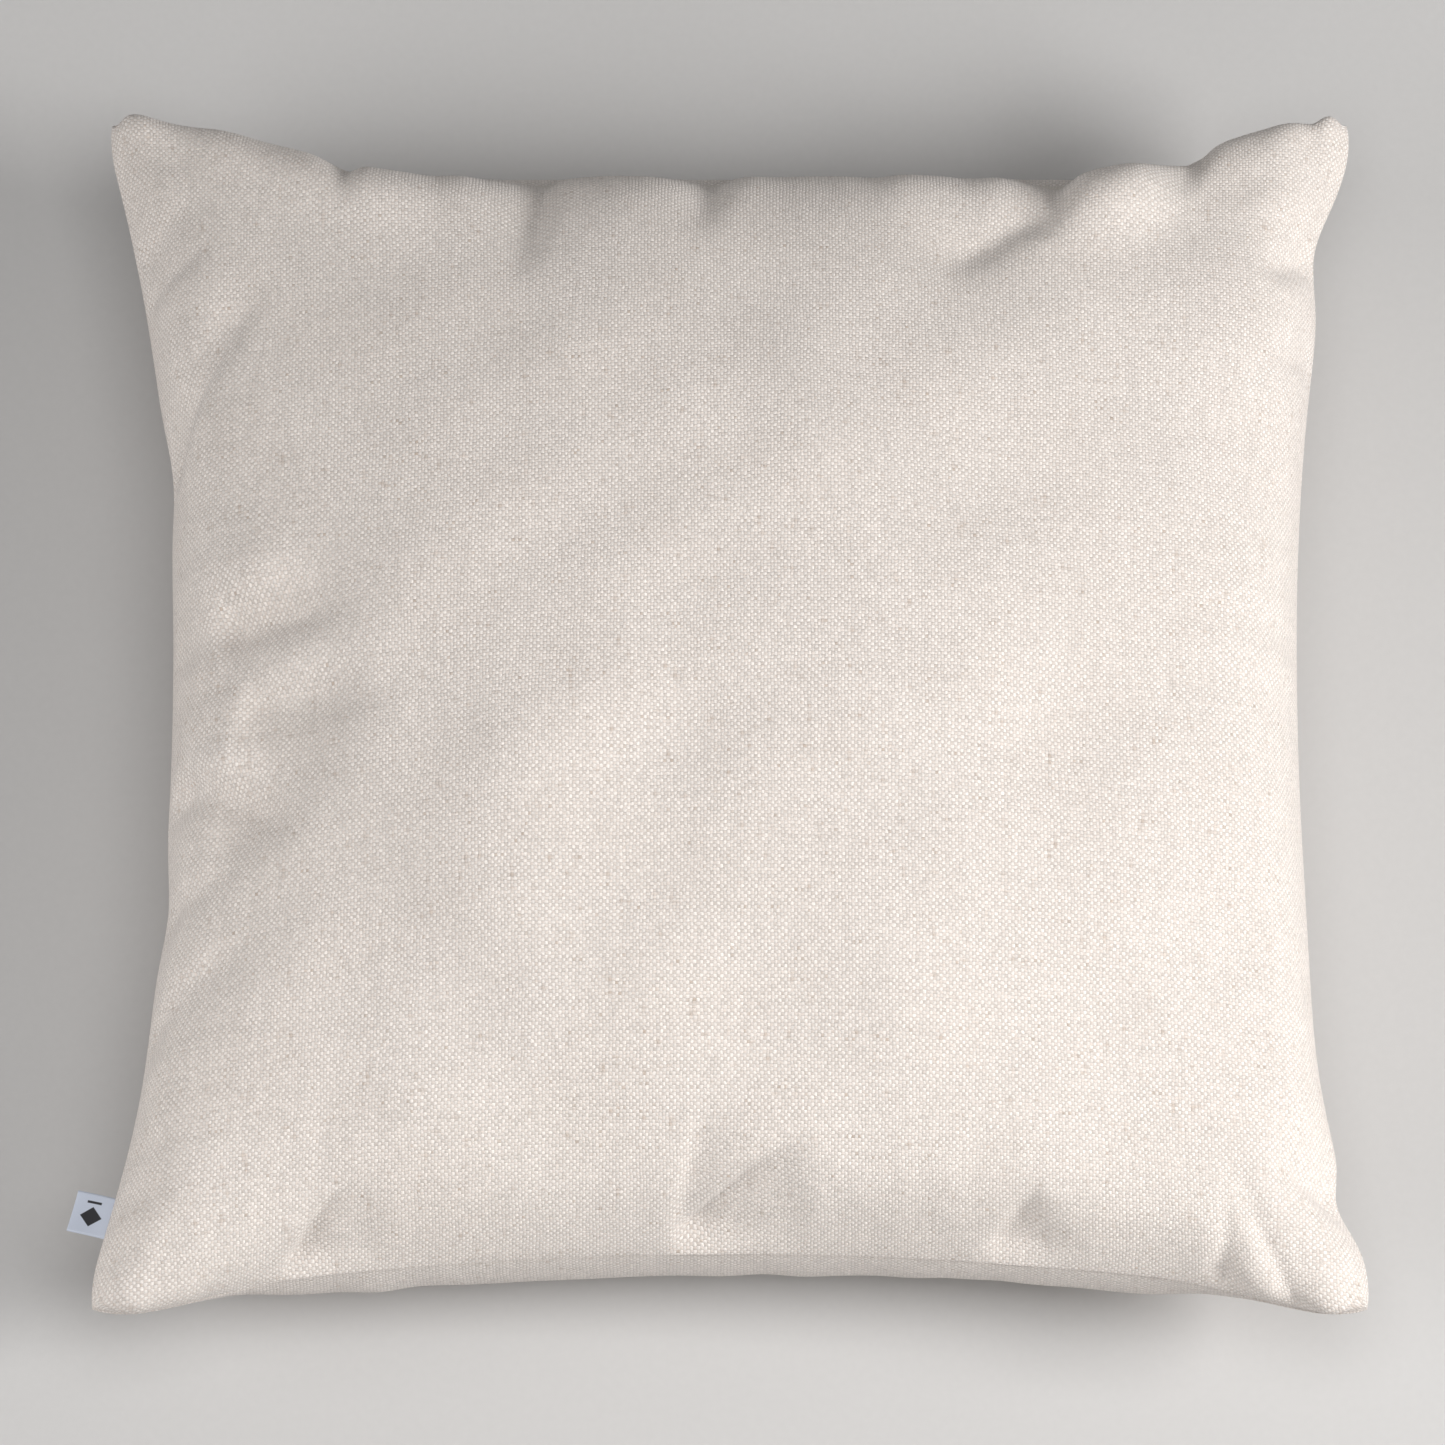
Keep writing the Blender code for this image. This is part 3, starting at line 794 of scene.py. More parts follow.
@dataclass(frozen=True)
class Crease:
    """A soft valley in the front panel, in the millimetres of its flat pattern.

    Seen along its run, the valley is as wide as left on one side and as right on the other. Its depth
    comes in over the lead and fades out over the shares of the run in fade, which may pass its end."""

    start: Tuple[float, float]
    end: Tuple[float, float]
    depth: float
    left: float
    right: float
    lead: Tuple[float, float] = (-8.0, 4.0)
    fade: Tuple[float, float] = (1.2, 0.5)

    def depth_at(self, flat: np.ndarray) -> np.ndarray:
        """Depth of the crease at points of the pattern.

        Across the run it is e^-(d / left)^2 on the left and e^-(d / right)^1.4 on the right.

        Args:
            flat: (..., 2) places on the pattern, in metres.
        Returns:
            Depths in metres.
        """
        start = np.array(self.start) * MM
        run = np.array(self.end) * MM - start
        length = float(np.linalg.norm(run))
        run = run / length
        away = flat - start
        along = (away @ run) / length
        side = (away[..., 0] * run[1] - away[..., 1] * run[0]) / MM
        falls = np.exp(-(side / self.left) ** 2), np.exp(-np.abs(side / self.right) ** 1.4)
        come_in = smooth_step(self.lead[0] * MM / length, self.lead[1] * MM / length, along)
        return self.depth * MM * np.where(side < 0, *falls) * come_in * smooth_step(*self.fade, along)


@dataclass(frozen=True)
class Swell:
    """A soft round rise of the front panel, in the millimetres of its flat pattern; negative is a dent."""

    across: float
    along: float
    radius: float
    height: float

    def height_at(self, flat: np.ndarray) -> np.ndarray:
        """Height of the swell at points of the pattern: height x e^-(distance / radius)^2.

        Args:
            flat: (..., 2) places on the pattern, in metres.
        Returns:
            Heights in metres.
        """
        away = np.linalg.norm(flat / MM - (self.across, self.along), axis=-1)
        return self.height * MM * np.exp(-(away / self.radius) ** 2)


@dataclass(frozen=True)
class EarPuff:
    """How the front panel stands out past the seam at the two ears of one side.

    Start is the share of the half side where the puff begins, and fade is how far from the corner it dies."""

    height: float
    start: float
    fade: float


@dataclass(frozen=True)
class Nip:
    """A local draw-in of a side. Its middle and width are shares of the half side along the seam."""

    side: Side
    middle: float
    width: float
    depth: float


@dataclass
class SeamPlan:
    """Where the seam of the filled cushion lies. The spans and the height are read from the frame."""

    half_x: float
    half_y: float
    height: float
    zip_half: float = 0.200
    pull_left: float = 38.5 * MM
    pull_right: float = 33.5 * MM
    pull_near: float = 25 * MM
    pull_far: float = 34 * MM
    power: float = 2.2
    near_power: float = 1.9
    near_flare: float = 7 * MM
    flare_band: Tuple[float, float] = (0.64, 0.92)
    far_power: float = 0.62
    far_soft: float = 0.0016
    corner: float = 0.110
    corner_drop: float = 0.021
    nips: Tuple[Nip, ...] = (
        Nip(Side.RIGHT, 0.76, 0.09, 7.0 * MM),
        Nip(Side.RIGHT, -0.82, 0.05, 6.0 * MM),
        Nip(Side.RIGHT, -0.62, 0.20, 4.0 * MM),
        Nip(Side.LEFT, -0.66, 0.20, 2.5 * MM),
        Nip(Side.LEFT, 0.37, 0.09, 3.0 * MM),
        Nip(Side.LEFT, -0.35, 0.08, 3.0 * MM),
    )

    @classmethod
    def from_frame(cls) -> "SeamPlan":
        """Read the spans from the front panel and the seam's height from the slit between the coils.

        Returns:
            The plan.
        """
        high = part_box("cover_front_panel")[1]
        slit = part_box("zip_coil_front")[0][2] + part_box("zip_coil_back")[1][2]
        return cls(half_x=high[0], half_y=high[1], height=slit / 2.0)

    def far_pull(self, p: np.ndarray) -> np.ndarray:
        """How far the far side is drawn in: steady along the zip, then less to nothing at the ears.

        Past the zip it falls as 1 - (t^2 + soft)^(power / 2), levelled to start and end true.

        Args:
            p: share across, -1 to 1.
        Returns:
            Distances.
        """
        share = self.zip_half / self.half_x
        past = np.clip((np.abs(p) - share) / (1.0 - share), 0.0, 1.0)
        bend = (past ** 2 + self.far_soft) ** (self.far_power / 2.0)
        level = self.far_soft ** (self.far_power / 2.0) * (1.0 - past)
        return np.where(past > 0, self.pull_far * (1.0 - bend + level), self.pull_far)

    def place(self, p: np.ndarray, q: np.ndarray) -> Tuple[np.ndarray, np.ndarray]:
        """Plan position of pattern points.

        The sides are drawn in by pull x (1 - |share along|^power) and their nips, the near side flares
        at its ends, and each corner is rounded by shrinking toward the middle past the corner line.

        Args:
            p: share across, -1 to 1.
            q: share along, -1 to 1.
        Returns:
            X and Y.
        """
        far = self.far_pull(p)
        flare = self.near_flare * smooth_step(*self.flare_band, np.abs(p))
        near = self.pull_near * (1.0 - np.abs(p) ** self.near_power) - flare
        side = 1.0 - np.abs(q) ** self.power
        pull = {Side.LEFT: self.pull_left * side, Side.RIGHT: self.pull_right * side}
        for nip in self.nips:
            pull[nip.side] = pull[nip.side] + nip.depth * np.exp(-((q - nip.middle) / nip.width) ** 2)
        x = p * (self.half_x - np.where(p < 0, pull[Side.LEFT], pull[Side.RIGHT]))
        y = q * (self.half_y - np.where(q < 0, near, far))
        over = np.clip((np.abs(p) + np.abs(q) - 2.0 + self.corner) / self.corner, 0.0, 1.0)
        shrink = 1.0 - self.corner_drop * over ** 2
        return x * shrink, y * shrink


@dataclass
class FilledCover:
    """The two panels, sewn all round and filled by a cloth simulation.

    Side bulges and the most overhangs are for the left, right, near and far sides."""

    plan: SeamPlan
    cut: float = 0.600
    crown: float = 0.182
    crown_power: float = 0.9
    belly: float = 0.095
    belly_power: float = 0.8
    floor_gap: float = 3 * MM
    cells: int = 66
    quick_cells: int = 44
    frames: int = 24
    refine_by: int = 3
    relax_passes: int = 6
    pressure: float = 6.0
    skin: float = 2 * MM
    lip: float = 5.0 * MM
    lip_rise: float = 5 * MM
    lip_fade: float = 60 * MM
    bulge_reach: float = 26 * MM
    bulge_ends: Tuple[float, float] = (0.82, 0.62)
    near_bulge_ends: Tuple[float, float] = (0.90, 0.60)
    far_ears: EarPuff = EarPuff(8.0 * MM, 0.62, 11 * MM)
    near_ears: EarPuff = EarPuff(10.0 * MM, 0.68, 26 * MM)
    ear_reach: float = 12 * MM
    ear_rise: float = 0.18
    lump_waves: Tuple[Tuple[float, float], ...] = ((0.21, 2.2 * MM), (0.12, 1.4 * MM), (0.07, 0.45 * MM))
    lump_count: int = 9
    lump_fade: float = 40 * MM
    pucker_height: float = 0.22 * MM
    pucker_reach: float = 15 * MM
    pucker_lengths: Tuple[float, float] = (0.017, 0.055)
    pucker_count: int = 7
    pucker_swell: float = 0.23
    seam_fade: float = 5 * MM
    floor_fade: float = 10 * MM
    press_from: float = 4 * MM
    press_to: float = 5 * MM
    seeds: Dict[Face, int] = field(default_factory=lambda: {Face.FRONT: 11, Face.BACK: 23})
    side_bulge: Dict[Face, Tuple[float, float, float, float]] = field(default_factory=lambda: {
        Face.FRONT: (6 * MM, 6 * MM, 0.0, 2 * MM),
        Face.BACK: (7 * MM, 7 * MM, 13 * MM, 5 * MM),
    })
    most_overhang: Dict[Face, Tuple[float, float, float, float]] = field(default_factory=lambda: {
        Face.FRONT: (7 * MM, 7 * MM, 5 * MM, 8 * MM),
        Face.BACK: (5 * MM, 5 * MM, 4 * MM, 1.5 * MM),
    })
    grids: Dict[Face, np.ndarray] = field(default_factory=dict)
    flat: Optional[np.ndarray] = None
    woven: Dict[Face, np.ndarray] = field(default_factory=dict)

    def lines(self) -> np.ndarray:
        """Pattern lines from -1 to 1, closer toward the seams: 0.7 of an even line and 0.3 of a sine.

        Returns:
            The lines.
        """
        even = np.linspace(-1.0, 1.0, self.cells + 1)
        return 0.7 * even + 0.3 * np.sin(0.5 * math.pi * even)

    def start_shape(self) -> Tuple[np.ndarray, np.ndarray, np.ndarray]:
        """The pillow the simulation starts from: each half rises as a power of sqrt((1 - p^2)(1 - q^2)).

        Returns:
            Pattern shares (rows, columns, 2), and the front and back grids.
        """
        p, q = np.meshgrid(self.lines(), self.lines(), indexing="ij")
        x, y = self.plan.place(p, q)
        rise = np.sqrt(np.clip((1.0 - p ** 2) * (1.0 - q ** 2), 0.0, None))
        height = self.plan.height
        top = height + (self.crown - height) * rise ** self.crown_power
        under = np.maximum(height - self.belly * rise ** self.belly_power, self.floor_gap)
        front, back = np.stack([x, y, top], axis=-1), np.stack([x, y, under], axis=-1)
        return np.stack([p, q], axis=-1), front, back

    def simulate(self) -> None:
        """Fill the cover. The seam is held, each panel wants its flat size, air stands for the
        filling, and a floor presses the underside flat."""
        shares, front, back = self.start_shape()
        count = front.shape[0]
        index = np.arange(count * count).reshape(count, count)
        seam = np.zeros((count, count), dtype=bool)
        seam[[0, -1]] = seam[:, [0, -1]] = True
        inner = ~seam.ravel()
        back_index = index.ravel().copy()
        back_index[inner] = count * count + np.arange(inner.sum())
        front_quads = grid_quads(index)
        faces = np.concatenate([front_quads, back_index[front_quads][:, ::-1]])
        points = np.concatenate([front.reshape(-1, 3), back.reshape(-1, 3)[inner]])
        level = np.full((count, count, 1), self.plan.height)
        flat = np.concatenate([shares * self.cut / 2.0, level], axis=-1).reshape(-1, 3)
        rest = np.concatenate([flat, flat[inner]])
        obj = add_mesh("cover_simulation", points, faces)
        moved = self.run_cloth(obj, rest, np.nonzero(~inner)[0])
        self.grids[Face.FRONT] = moved[: count * count].reshape(count, count, 3)
        self.grids[Face.BACK] = moved[back_index].reshape(count, count, 3)
        self.flat = shares * self.cut / 2.0

    def run_cloth(self, obj: bpy.types.Object, rest: np.ndarray, held: np.ndarray) -> np.ndarray:
        """Run the simulation and remove everything it needed.

        Args:
            obj: the sewn cover.
            rest: the points of the flat cut.
            held: numbers of the seam's points.
        Returns:
            The settled points.
        """
        obj.shape_key_add(name="Basis")
        cut = obj.shape_key_add(name="cut")
        cut.data.foreach_set("co", rest.astype(np.float32).ravel())
        group = obj.vertex_groups.new(name="seam")
        group.add(held.tolist(), 1.0, "REPLACE")
        cloth = obj.modifiers.new("fill", "CLOTH")
        settings = cloth.settings
        settings.rest_shape_key = cut
        settings.vertex_group_mass = "seam"
        settings.quality = 6
        settings.mass = 0.4
        settings.tension_stiffness = 40.0
        settings.compression_stiffness = 10.0
        settings.shear_stiffness = 12.0
        settings.bending_stiffness = 1.5
        settings.tension_damping = settings.compression_damping = settings.shear_damping = 8.0
        settings.use_pressure = True
        settings.uniform_pressure_force = self.pressure
        settings.effector_weights.gravity = 0.0
        settings.air_damping = 3.0
        cloth.collision_settings.use_self_collision = False
        cloth.collision_settings.distance_min = self.skin
        ground = level_square("press_floor", 2.0)
        ground.modifiers.new("press", "COLLISION")
        ground.collision.thickness_outer = self.skin
        scene = bpy.context.scene
        scene.frame_start, scene.frame_end = 1, self.frames
        cloth.point_cache.frame_end = self.frames
        for frame in range(1, self.frames + 1):
            scene.frame_set(frame)
        settled = obj.evaluated_get(bpy.context.evaluated_depsgraph_get()).to_mesh()
        points = np.empty(len(settled.vertices) * 3, dtype=np.float32)
        settled.vertices.foreach_get("co", points)
        for used in (obj, ground):
            bpy.data.objects.remove(used, do_unlink=True)
        scene.frame_set(1)
        return points.reshape(-1, 3).astype(float)

    def finish_shape(self, creases: Sequence[Crease], swells: Sequence[Swell]) -> None:
        """Refine both panels, then add side bulges, lumps of filling, creases and swells.

        Beside the seam each panel first stands up by lip x (1 - e^(-gap / rise)) e^(-gap / fade).

        Args:
            creases: the front panel's creases.
            swells: the front panel's swells.
        """
        self.flat = refine(self.flat, self.refine_by)
        gap = self.edge_distance()
        lip = self.lip * (1.0 - np.exp(-gap / self.lip_rise)) * np.exp(-gap / self.lip_fade)
        for face, grid in self.grids.items():
            grid = refine(relax(grid, self.relax_passes), self.refine_by)
            grid = self.limit_overhang(grid + self.bulge(face), face)
            grid[..., 2] += face.value * lip
            self.woven[face] = self.thread_lengths(grid)
            normals = grid_normals(grid, face)
            relief = self.lumps(self.seeds[face]) + self.puckers(self.seeds[face] + 1)
            if face is Face.FRONT:
                relief = relief - sum(crease.depth_at(self.flat) for crease in creases)
                relief = relief + sum(swell.height_at(self.flat) for swell in swells)
            relief = relief * smooth_step(0.0, self.seam_fade, gap)
            if face is Face.BACK:
                relief = relief * smooth_step(0.0, self.floor_fade, np.abs(grid[..., 2]))
            grid = grid + normals * relief[..., None]
            self.grids[face] = self.press_flat(grid) if face is Face.BACK else grid

    def press_flat(self, grid: np.ndarray) -> np.ndarray:
        """Bring the lowest cloth onto the floor: heights between the two press levels stretch down to it.

        Args:
            grid: the back panel's points.
        Returns:
            The pressed points.
        """
        steep = self.press_to / (self.press_to - self.press_from)
        pressed = np.maximum(grid[..., 2] - self.press_from, 0.0) * steep
        grid[..., 2] = np.where(grid[..., 2] < self.press_to, pressed, grid[..., 2])
        return grid

    def limit_overhang(self, grid: np.ndarray, face: Face) -> np.ndarray:
        """Hold in how far a side stands out past the seam beside it.

        An excess e past the seam line becomes limit x tanh(e / limit).

        Args:
            grid: the panel's points.
            face: the panel.
        Returns:
            The points with both plan coordinates held in.
        """
        out = grid.copy()
        left, right, near, far = self.most_overhang[face]
        for axis, low, high in ((0, left, right), (1, near, far)):
            value = out[..., axis]
            first = value[:1] if axis == 0 else value[:, :1]
            last = value[-1:] if axis == 0 else value[:, -1:]
            under, over = first - value, value - last
            value = np.where(under > 0, first - low * np.tanh(under / low), value)
            out[..., axis] = np.where(over > 0, last + high * np.tanh(over / high), value)
        return out

    def sample(self, face: Face, u: np.ndarray, v: np.ndarray, inward: float = 0.0) -> np.ndarray:
        """Points of a panel at places on its flat pattern, optionally inside it.

        The grid and its normals are read bilinearly, then moved along the normal.

        Args:
            face: the panel.
            u: flat coordinate across.
            v: flat coordinate along.
            inward: distance inside the panel.
        Returns:
            Points of shape u.shape + (3,).
        """
        line = self.flat[:, 0, 0]
        steps = np.arange(len(line))
        a, b = np.interp(u, line, steps), np.interp(v, line, steps)
        i, j = np.minimum(a.astype(int), len(line) - 2), np.minimum(b.astype(int), len(line) - 2)
        s, t = (a - i)[..., None], (b - j)[..., None]
        grid = self.grids[face]
        fields = []
        for value in (grid, grid_normals(grid, face)):
            low = (1.0 - s) * value[i, j] + s * value[i + 1, j]
            high = (1.0 - s) * value[i, j + 1] + s * value[i + 1, j + 1]
            fields.append((1.0 - t) * low + t * high)
        return fields[0] - inward * unit(fields[1])

    def inner_grid(self, face: Face, inset: float, far_inset: float, drop: float) -> np.ndarray:
        """A coarser copy of a panel, drawn in on every side and lowered toward the seam plane.

        Args:
            face: the panel.
            inset: how far in at the left, right and near sides.
            far_inset: how far in at the far side.
            drop: how far toward the seam plane.
        Returns:
            (rows, columns, 3).
        """
        grid = self.grids[face][:: self.refine_by, :: self.refine_by].copy()
        reach = self.plan.half_y - self.plan.pull_left
        grid[..., 0] *= 1.0 - inset / reach
        grid[..., 1] *= 1.0 - np.where(grid[..., 1] > 0, far_inset, inset) / reach
        tall = np.maximum(face.value * (grid[..., 2] - self.plan.height) - drop, SEAM_GAP)
        tall[[0, -1]] = tall[:, [0, -1]] = SEAM_GAP
        grid[..., 2] = self.plan.height + face.value * tall
        return grid

    def thread_lengths(self, grid: np.ndarray) -> np.ndarray:
        """Where each point lies on the weave: the length of cloth from the middle lines, each way.

        Args:
            grid: the panel's points.
        Returns:
            (rows, columns, 2) lengths, positive toward +X and +Y.
        """
        lengths = []
        for axis in (0, 1):
            steps = np.linalg.norm(np.diff(grid, axis=axis), axis=-1)
            none = np.zeros_like(steps.take([0], axis=axis))
            run = np.concatenate([none, np.cumsum(steps, axis=axis)], axis=axis)
            lengths.append(run - run.take([run.shape[axis] // 2], axis=axis))
        return np.stack(lengths, axis=-1)

    def edge_distance(self) -> np.ndarray:
        """Distance of each point from the nearest seam, along the cloth.

        Returns:
            (rows, columns) distances.
        """
        return self.cut / 2.0 - np.abs(self.flat).max(axis=-1)

    def side_swell(self, gap: np.ndarray, along: np.ndarray, ends: Tuple[float, float]) -> np.ndarray:
        """One side's outward swell, highest a finger's width from the seam and none at the ears.

        Args:
            gap: distance from the seam.
            along: position along the seam.
            ends: shares of the half side where the swell is nothing and where it is full.
        Returns:
            Heights from 0 to 1.
        """
        return smooth_step(*ends, np.abs(along) / (self.cut / 2.0)) * hump(gap, self.bulge_reach)

    def bulge(self, face: Face) -> np.ndarray:
        """Outward swell of the sides between the ears, and of the front panel's ears past the seam.

        Args:
            face: the panel.
        Returns:
            Offsets (rows, columns, 3).
        """
        half = self.cut / 2.0
        u, v = self.flat[..., 0], self.flat[..., 1]
        left, right, near, far = self.side_bulge[face]
        out = np.zeros(self.flat.shape[:2] + (3,))
        out[..., 0] += right * self.side_swell(half - u, v, self.bulge_ends)
        out[..., 0] -= left * self.side_swell(half + u, v, self.bulge_ends)
        out[..., 1] += far * self.side_swell(half - v, u, self.bulge_ends)
        out[..., 1] -= near * self.side_swell(half + v, u, self.near_bulge_ends)
        if face is Face.FRONT:
            for ears, gap, way in ((self.far_ears, half - v, 1.0), (self.near_ears, half + v, -1.0)):
                puff = hump(gap, self.ear_reach) * smooth_step(0.0, ears.fade, half - np.abs(u))
                come_in = smooth_step(ears.start, ears.start + self.ear_rise, np.abs(u) / half)
                out[..., 1] += way * ears.height * puff * come_in
        return out

    def lumps(self, seed: int) -> np.ndarray:
        """Slow, shallow unevenness of the fibre filling, as a sum of waves in random directions.

        Args:
            seed: seeds the waves.
        Returns:
            (rows, columns) heights.
        """
        rng = np.random.default_rng(seed)
        total = np.zeros(self.flat.shape[:2])
        for length, height in self.lump_waves:
            turns, phases = rng.uniform(0, 2 * math.pi, (2, self.lump_count))
            steps = 2 * math.pi / (length * rng.uniform(0.8, 1.25, self.lump_count))
            waves = np.stack([np.cos(turns) * steps, np.sin(turns) * steps])
            share = height / math.sqrt(self.lump_count)
            total += share * np.cos(self.flat @ waves + phases).sum(axis=-1)
        return total * smooth_step(0.0, self.lump_fade, self.edge_distance())

    def puckers(self, seed: int) -> np.ndarray:
        """Fine gathers square to the seams: waves along each side that swell and fade inward.

        Args:
            seed: seeds the waves.
        Returns:
            (rows, columns) heights.
        """
        rng = np.random.default_rng(seed)
        half = self.cut / 2.0
        u, v = self.flat[..., 0], self.flat[..., 1]
        total = np.zeros(u.shape)
        for gap, along in ((half + u, v), (half - u, v), (half + v, u), (half - v, u)):
            lengths = rng.uniform(*self.pucker_lengths, self.pucker_count)
            phases = rng.uniform(0.0, 2.0 * math.pi, self.pucker_count)
            wave = np.cos(2.0 * math.pi * along[..., None] / lengths + phases).sum(axis=-1)
            slow = 0.6 + 0.4 * np.cos(2.0 * math.pi * along / self.pucker_swell + phases[0])
            total += self.pucker_height * wave * slow * hump(gap, self.pucker_reach)
        return total


@dataclass
class CoverPanel:
    """One panel of the cover: the filled cloth, rolled over at the seam and folded back inside.

    The roll is an arc that starts the way the cloth arrives at the seam and ends on the seam plane."""

    cover: FilledCover
    face: Face
    roll: float = 1.1 * MM
    roll_steps: int = 5
    tuck: float = 1.0 * MM
    blend: float = 9 * MM
    slit: float = 0.06 * MM
    zip_slit: float = 0.75 * MM
    zip_fade: Tuple[float, float] = (12 * MM, 2 * MM)
    most_turn: float = 1.9
    turn_passes: int = 6
    arrive_steps: int = 2
    woven_edge: float = 6 * MM
    cloth: float = 0.8 * MM

    def rim_slit(self, ring: np.ndarray) -> np.ndarray:
        """Half the slit round the seam, wider along the zip.

        Args:
            ring: the seam's points.
        Returns:
            One half-width for each point.
        """
        plan = self.cover.plan
        outer, inner = plan.zip_half + self.zip_fade[0], plan.zip_half - self.zip_fade[1]
        at_zip = smooth_step(outer, inner, np.abs(ring[:, 0])) * (ring[:, 1] > 0.5 * plan.half_y)
        return self.slit + (self.zip_slit - self.slit) * at_zip

    def build(self, material: bpy.types.Material) -> bpy.types.Object:
        """Make the panel.

        Args:
            material: its cloth.
        Returns:
            The object.
        """
        sign = float(self.face.value)
        grid = self.cover.grids[self.face].copy()
        ring = ring_of(grid)
        tangent = unit(np.roll(ring, -1, axis=0) - np.roll(ring, 1, axis=0))
        outward = unit(np.cross(tangent, (0.0, 0.0, 1.0)))
        arrive = unit(ring - ring_of_depth(grid, self.arrive_steps))
        angle = np.arctan2(-sign * arrive[:, 2], (arrive * outward).sum(axis=1))
        angle = ring_blur(np.clip(angle, 0.0, self.most_turn), self.turn_passes)
        lift = self.roll * (1.0 + np.cos(angle)) + self.rim_slit(ring)
        grid = self.lift_edge(grid, lift, sign)
        steps = np.linspace(0.0, 1.0, self.roll_steps + 1)[:, None]
        turns = angle + (math.pi - angle) * steps
        out = self.roll * (np.sin(turns) - np.sin(turns[:1]))[1:, :, None]
        down = self.roll * (np.cos(turns[:1]) - np.cos(turns))[1:, :, None]
        rings = ring_of(grid) + out * outward - sign * down * np.array((0.0, 0.0, 1.0))
        tucked = rings[-1] - outward * np.array([0.4, 1.0])[:, None, None] * self.tuck
        return self.mesh(grid, np.concatenate([rings, tucked]), material)

    def lift_edge(self, grid: np.ndarray, lift: np.ndarray, sign: float) -> np.ndarray:
        """Raise the cloth next to the seam so that its roll ends on the seam plane.

        Args:
            grid: the panel's points.
            lift: the rise wanted at each seam point.
            sign: the panel's way along Z.
        Returns:
            The lifted grid.
        """
        count = grid.shape[0] - 1
        sides = np.split(lift, 4)
        rows = np.arange(count + 1)
        edges = [np.append(side, nxt[0]) for side, nxt in zip(sides, sides[1:] + sides[:1])]
        near, right, far, left = edges[0], edges[1], edges[2][::-1], edges[3][::-1]
        half = self.cover.cut / 2.0
        u, v = self.cover.flat[..., 0], self.cover.flat[..., 1]
        gaps = np.stack([half + v, half - u, half - v, half + u])
        values = np.stack([
            np.broadcast_to(near[rows][:, None], u.shape), np.broadcast_to(right[None, :], u.shape),
            np.broadcast_to(far[rows][:, None], u.shape), np.broadcast_to(left[None, :], u.shape),
        ])
        weight = 1.0 / (gaps + 0.2 * MM) ** 2
        rise = (values * weight).sum(axis=0) / weight.sum(axis=0)
        fade = smooth_step(self.blend, 0.0, gaps.min(axis=0))
        out = grid.copy()
        out[..., 2] += sign * rise * fade
        return out

    def mesh(self, grid: np.ndarray, rings: np.ndarray, material: bpy.types.Material) -> bpy.types.Object:
        """Join the grid and the rings of the rolled edge, and carry the weave on round the roll.

        Args:
            grid: the panel's points.
            rings: (rings, points round, 3).
            material: its cloth.
        Returns:
            The object.
        """
        rows, columns = grid.shape[:2]
        index = np.arange(rows * columns).reshape(rows, columns)
        ring_index = rows * columns + np.arange(rings.shape[0] * rings.shape[1]).reshape(rings.shape[:2])
        chain = np.concatenate([ring_of(index)[None], ring_index])
        faces = np.concatenate([grid_quads(index), strip_quads(chain)])
        if self.face is Face.BACK:
            faces = faces[:, ::-1]
        points = np.concatenate([grid.reshape(-1, 3), rings.reshape(-1, 3)])
        woven = self.cover.woven[self.face]
        border = ring_of(woven)
        edge = np.abs(ring_of(self.cover.flat)) > self.cover.cut / 2.0 - 0.001 * MM
        steps = np.linspace(0.0, self.woven_edge, rings.shape[0] + 1)[1:, None, None]
        beyond = border + steps * np.sign(border) * edge
        flat = np.concatenate([woven.reshape(-1, 2), beyond.reshape(-1, 2)])
        uv = flat / WovenFinish.width + 0.5
        name = "cover_front" if self.face is Face.FRONT else "cover_back"
        obj = add_mesh(name, points, faces, uv)
        thicken(obj, self.cloth)
        dress(obj, material)
        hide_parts(name + "_panel")
        return obj


def ring_of_depth(grid: np.ndarray, depth: int) -> np.ndarray:
    """For each border point, the point a few steps straight in from it.

    Args:
        grid: (rows, columns, 3).
        depth: steps inward.
    Returns:
        (points round, 3); at a corner it is the point in along both ways.
    """
    last = grid.shape[0] - 1
    rows, columns = np.meshgrid(np.arange(last + 1), np.arange(last + 1), indexing="ij")
    numbers = ring_of(np.stack([rows, columns], axis=-1))
    inner = np.clip(numbers, depth, last - depth)
    return grid[inner[:, 0], inner[:, 1]]


def ring_blur(values: np.ndarray, passes: int) -> np.ndarray:
    """Average values round a ring with their neighbours.

    Args:
        values: one for each point round.
        passes: how many times.
    Returns:
        The smoother values.
    """
    for _ in range(passes):
        values = (np.roll(values, 1) + 2.0 * values + np.roll(values, -1)) / 4.0
    return values


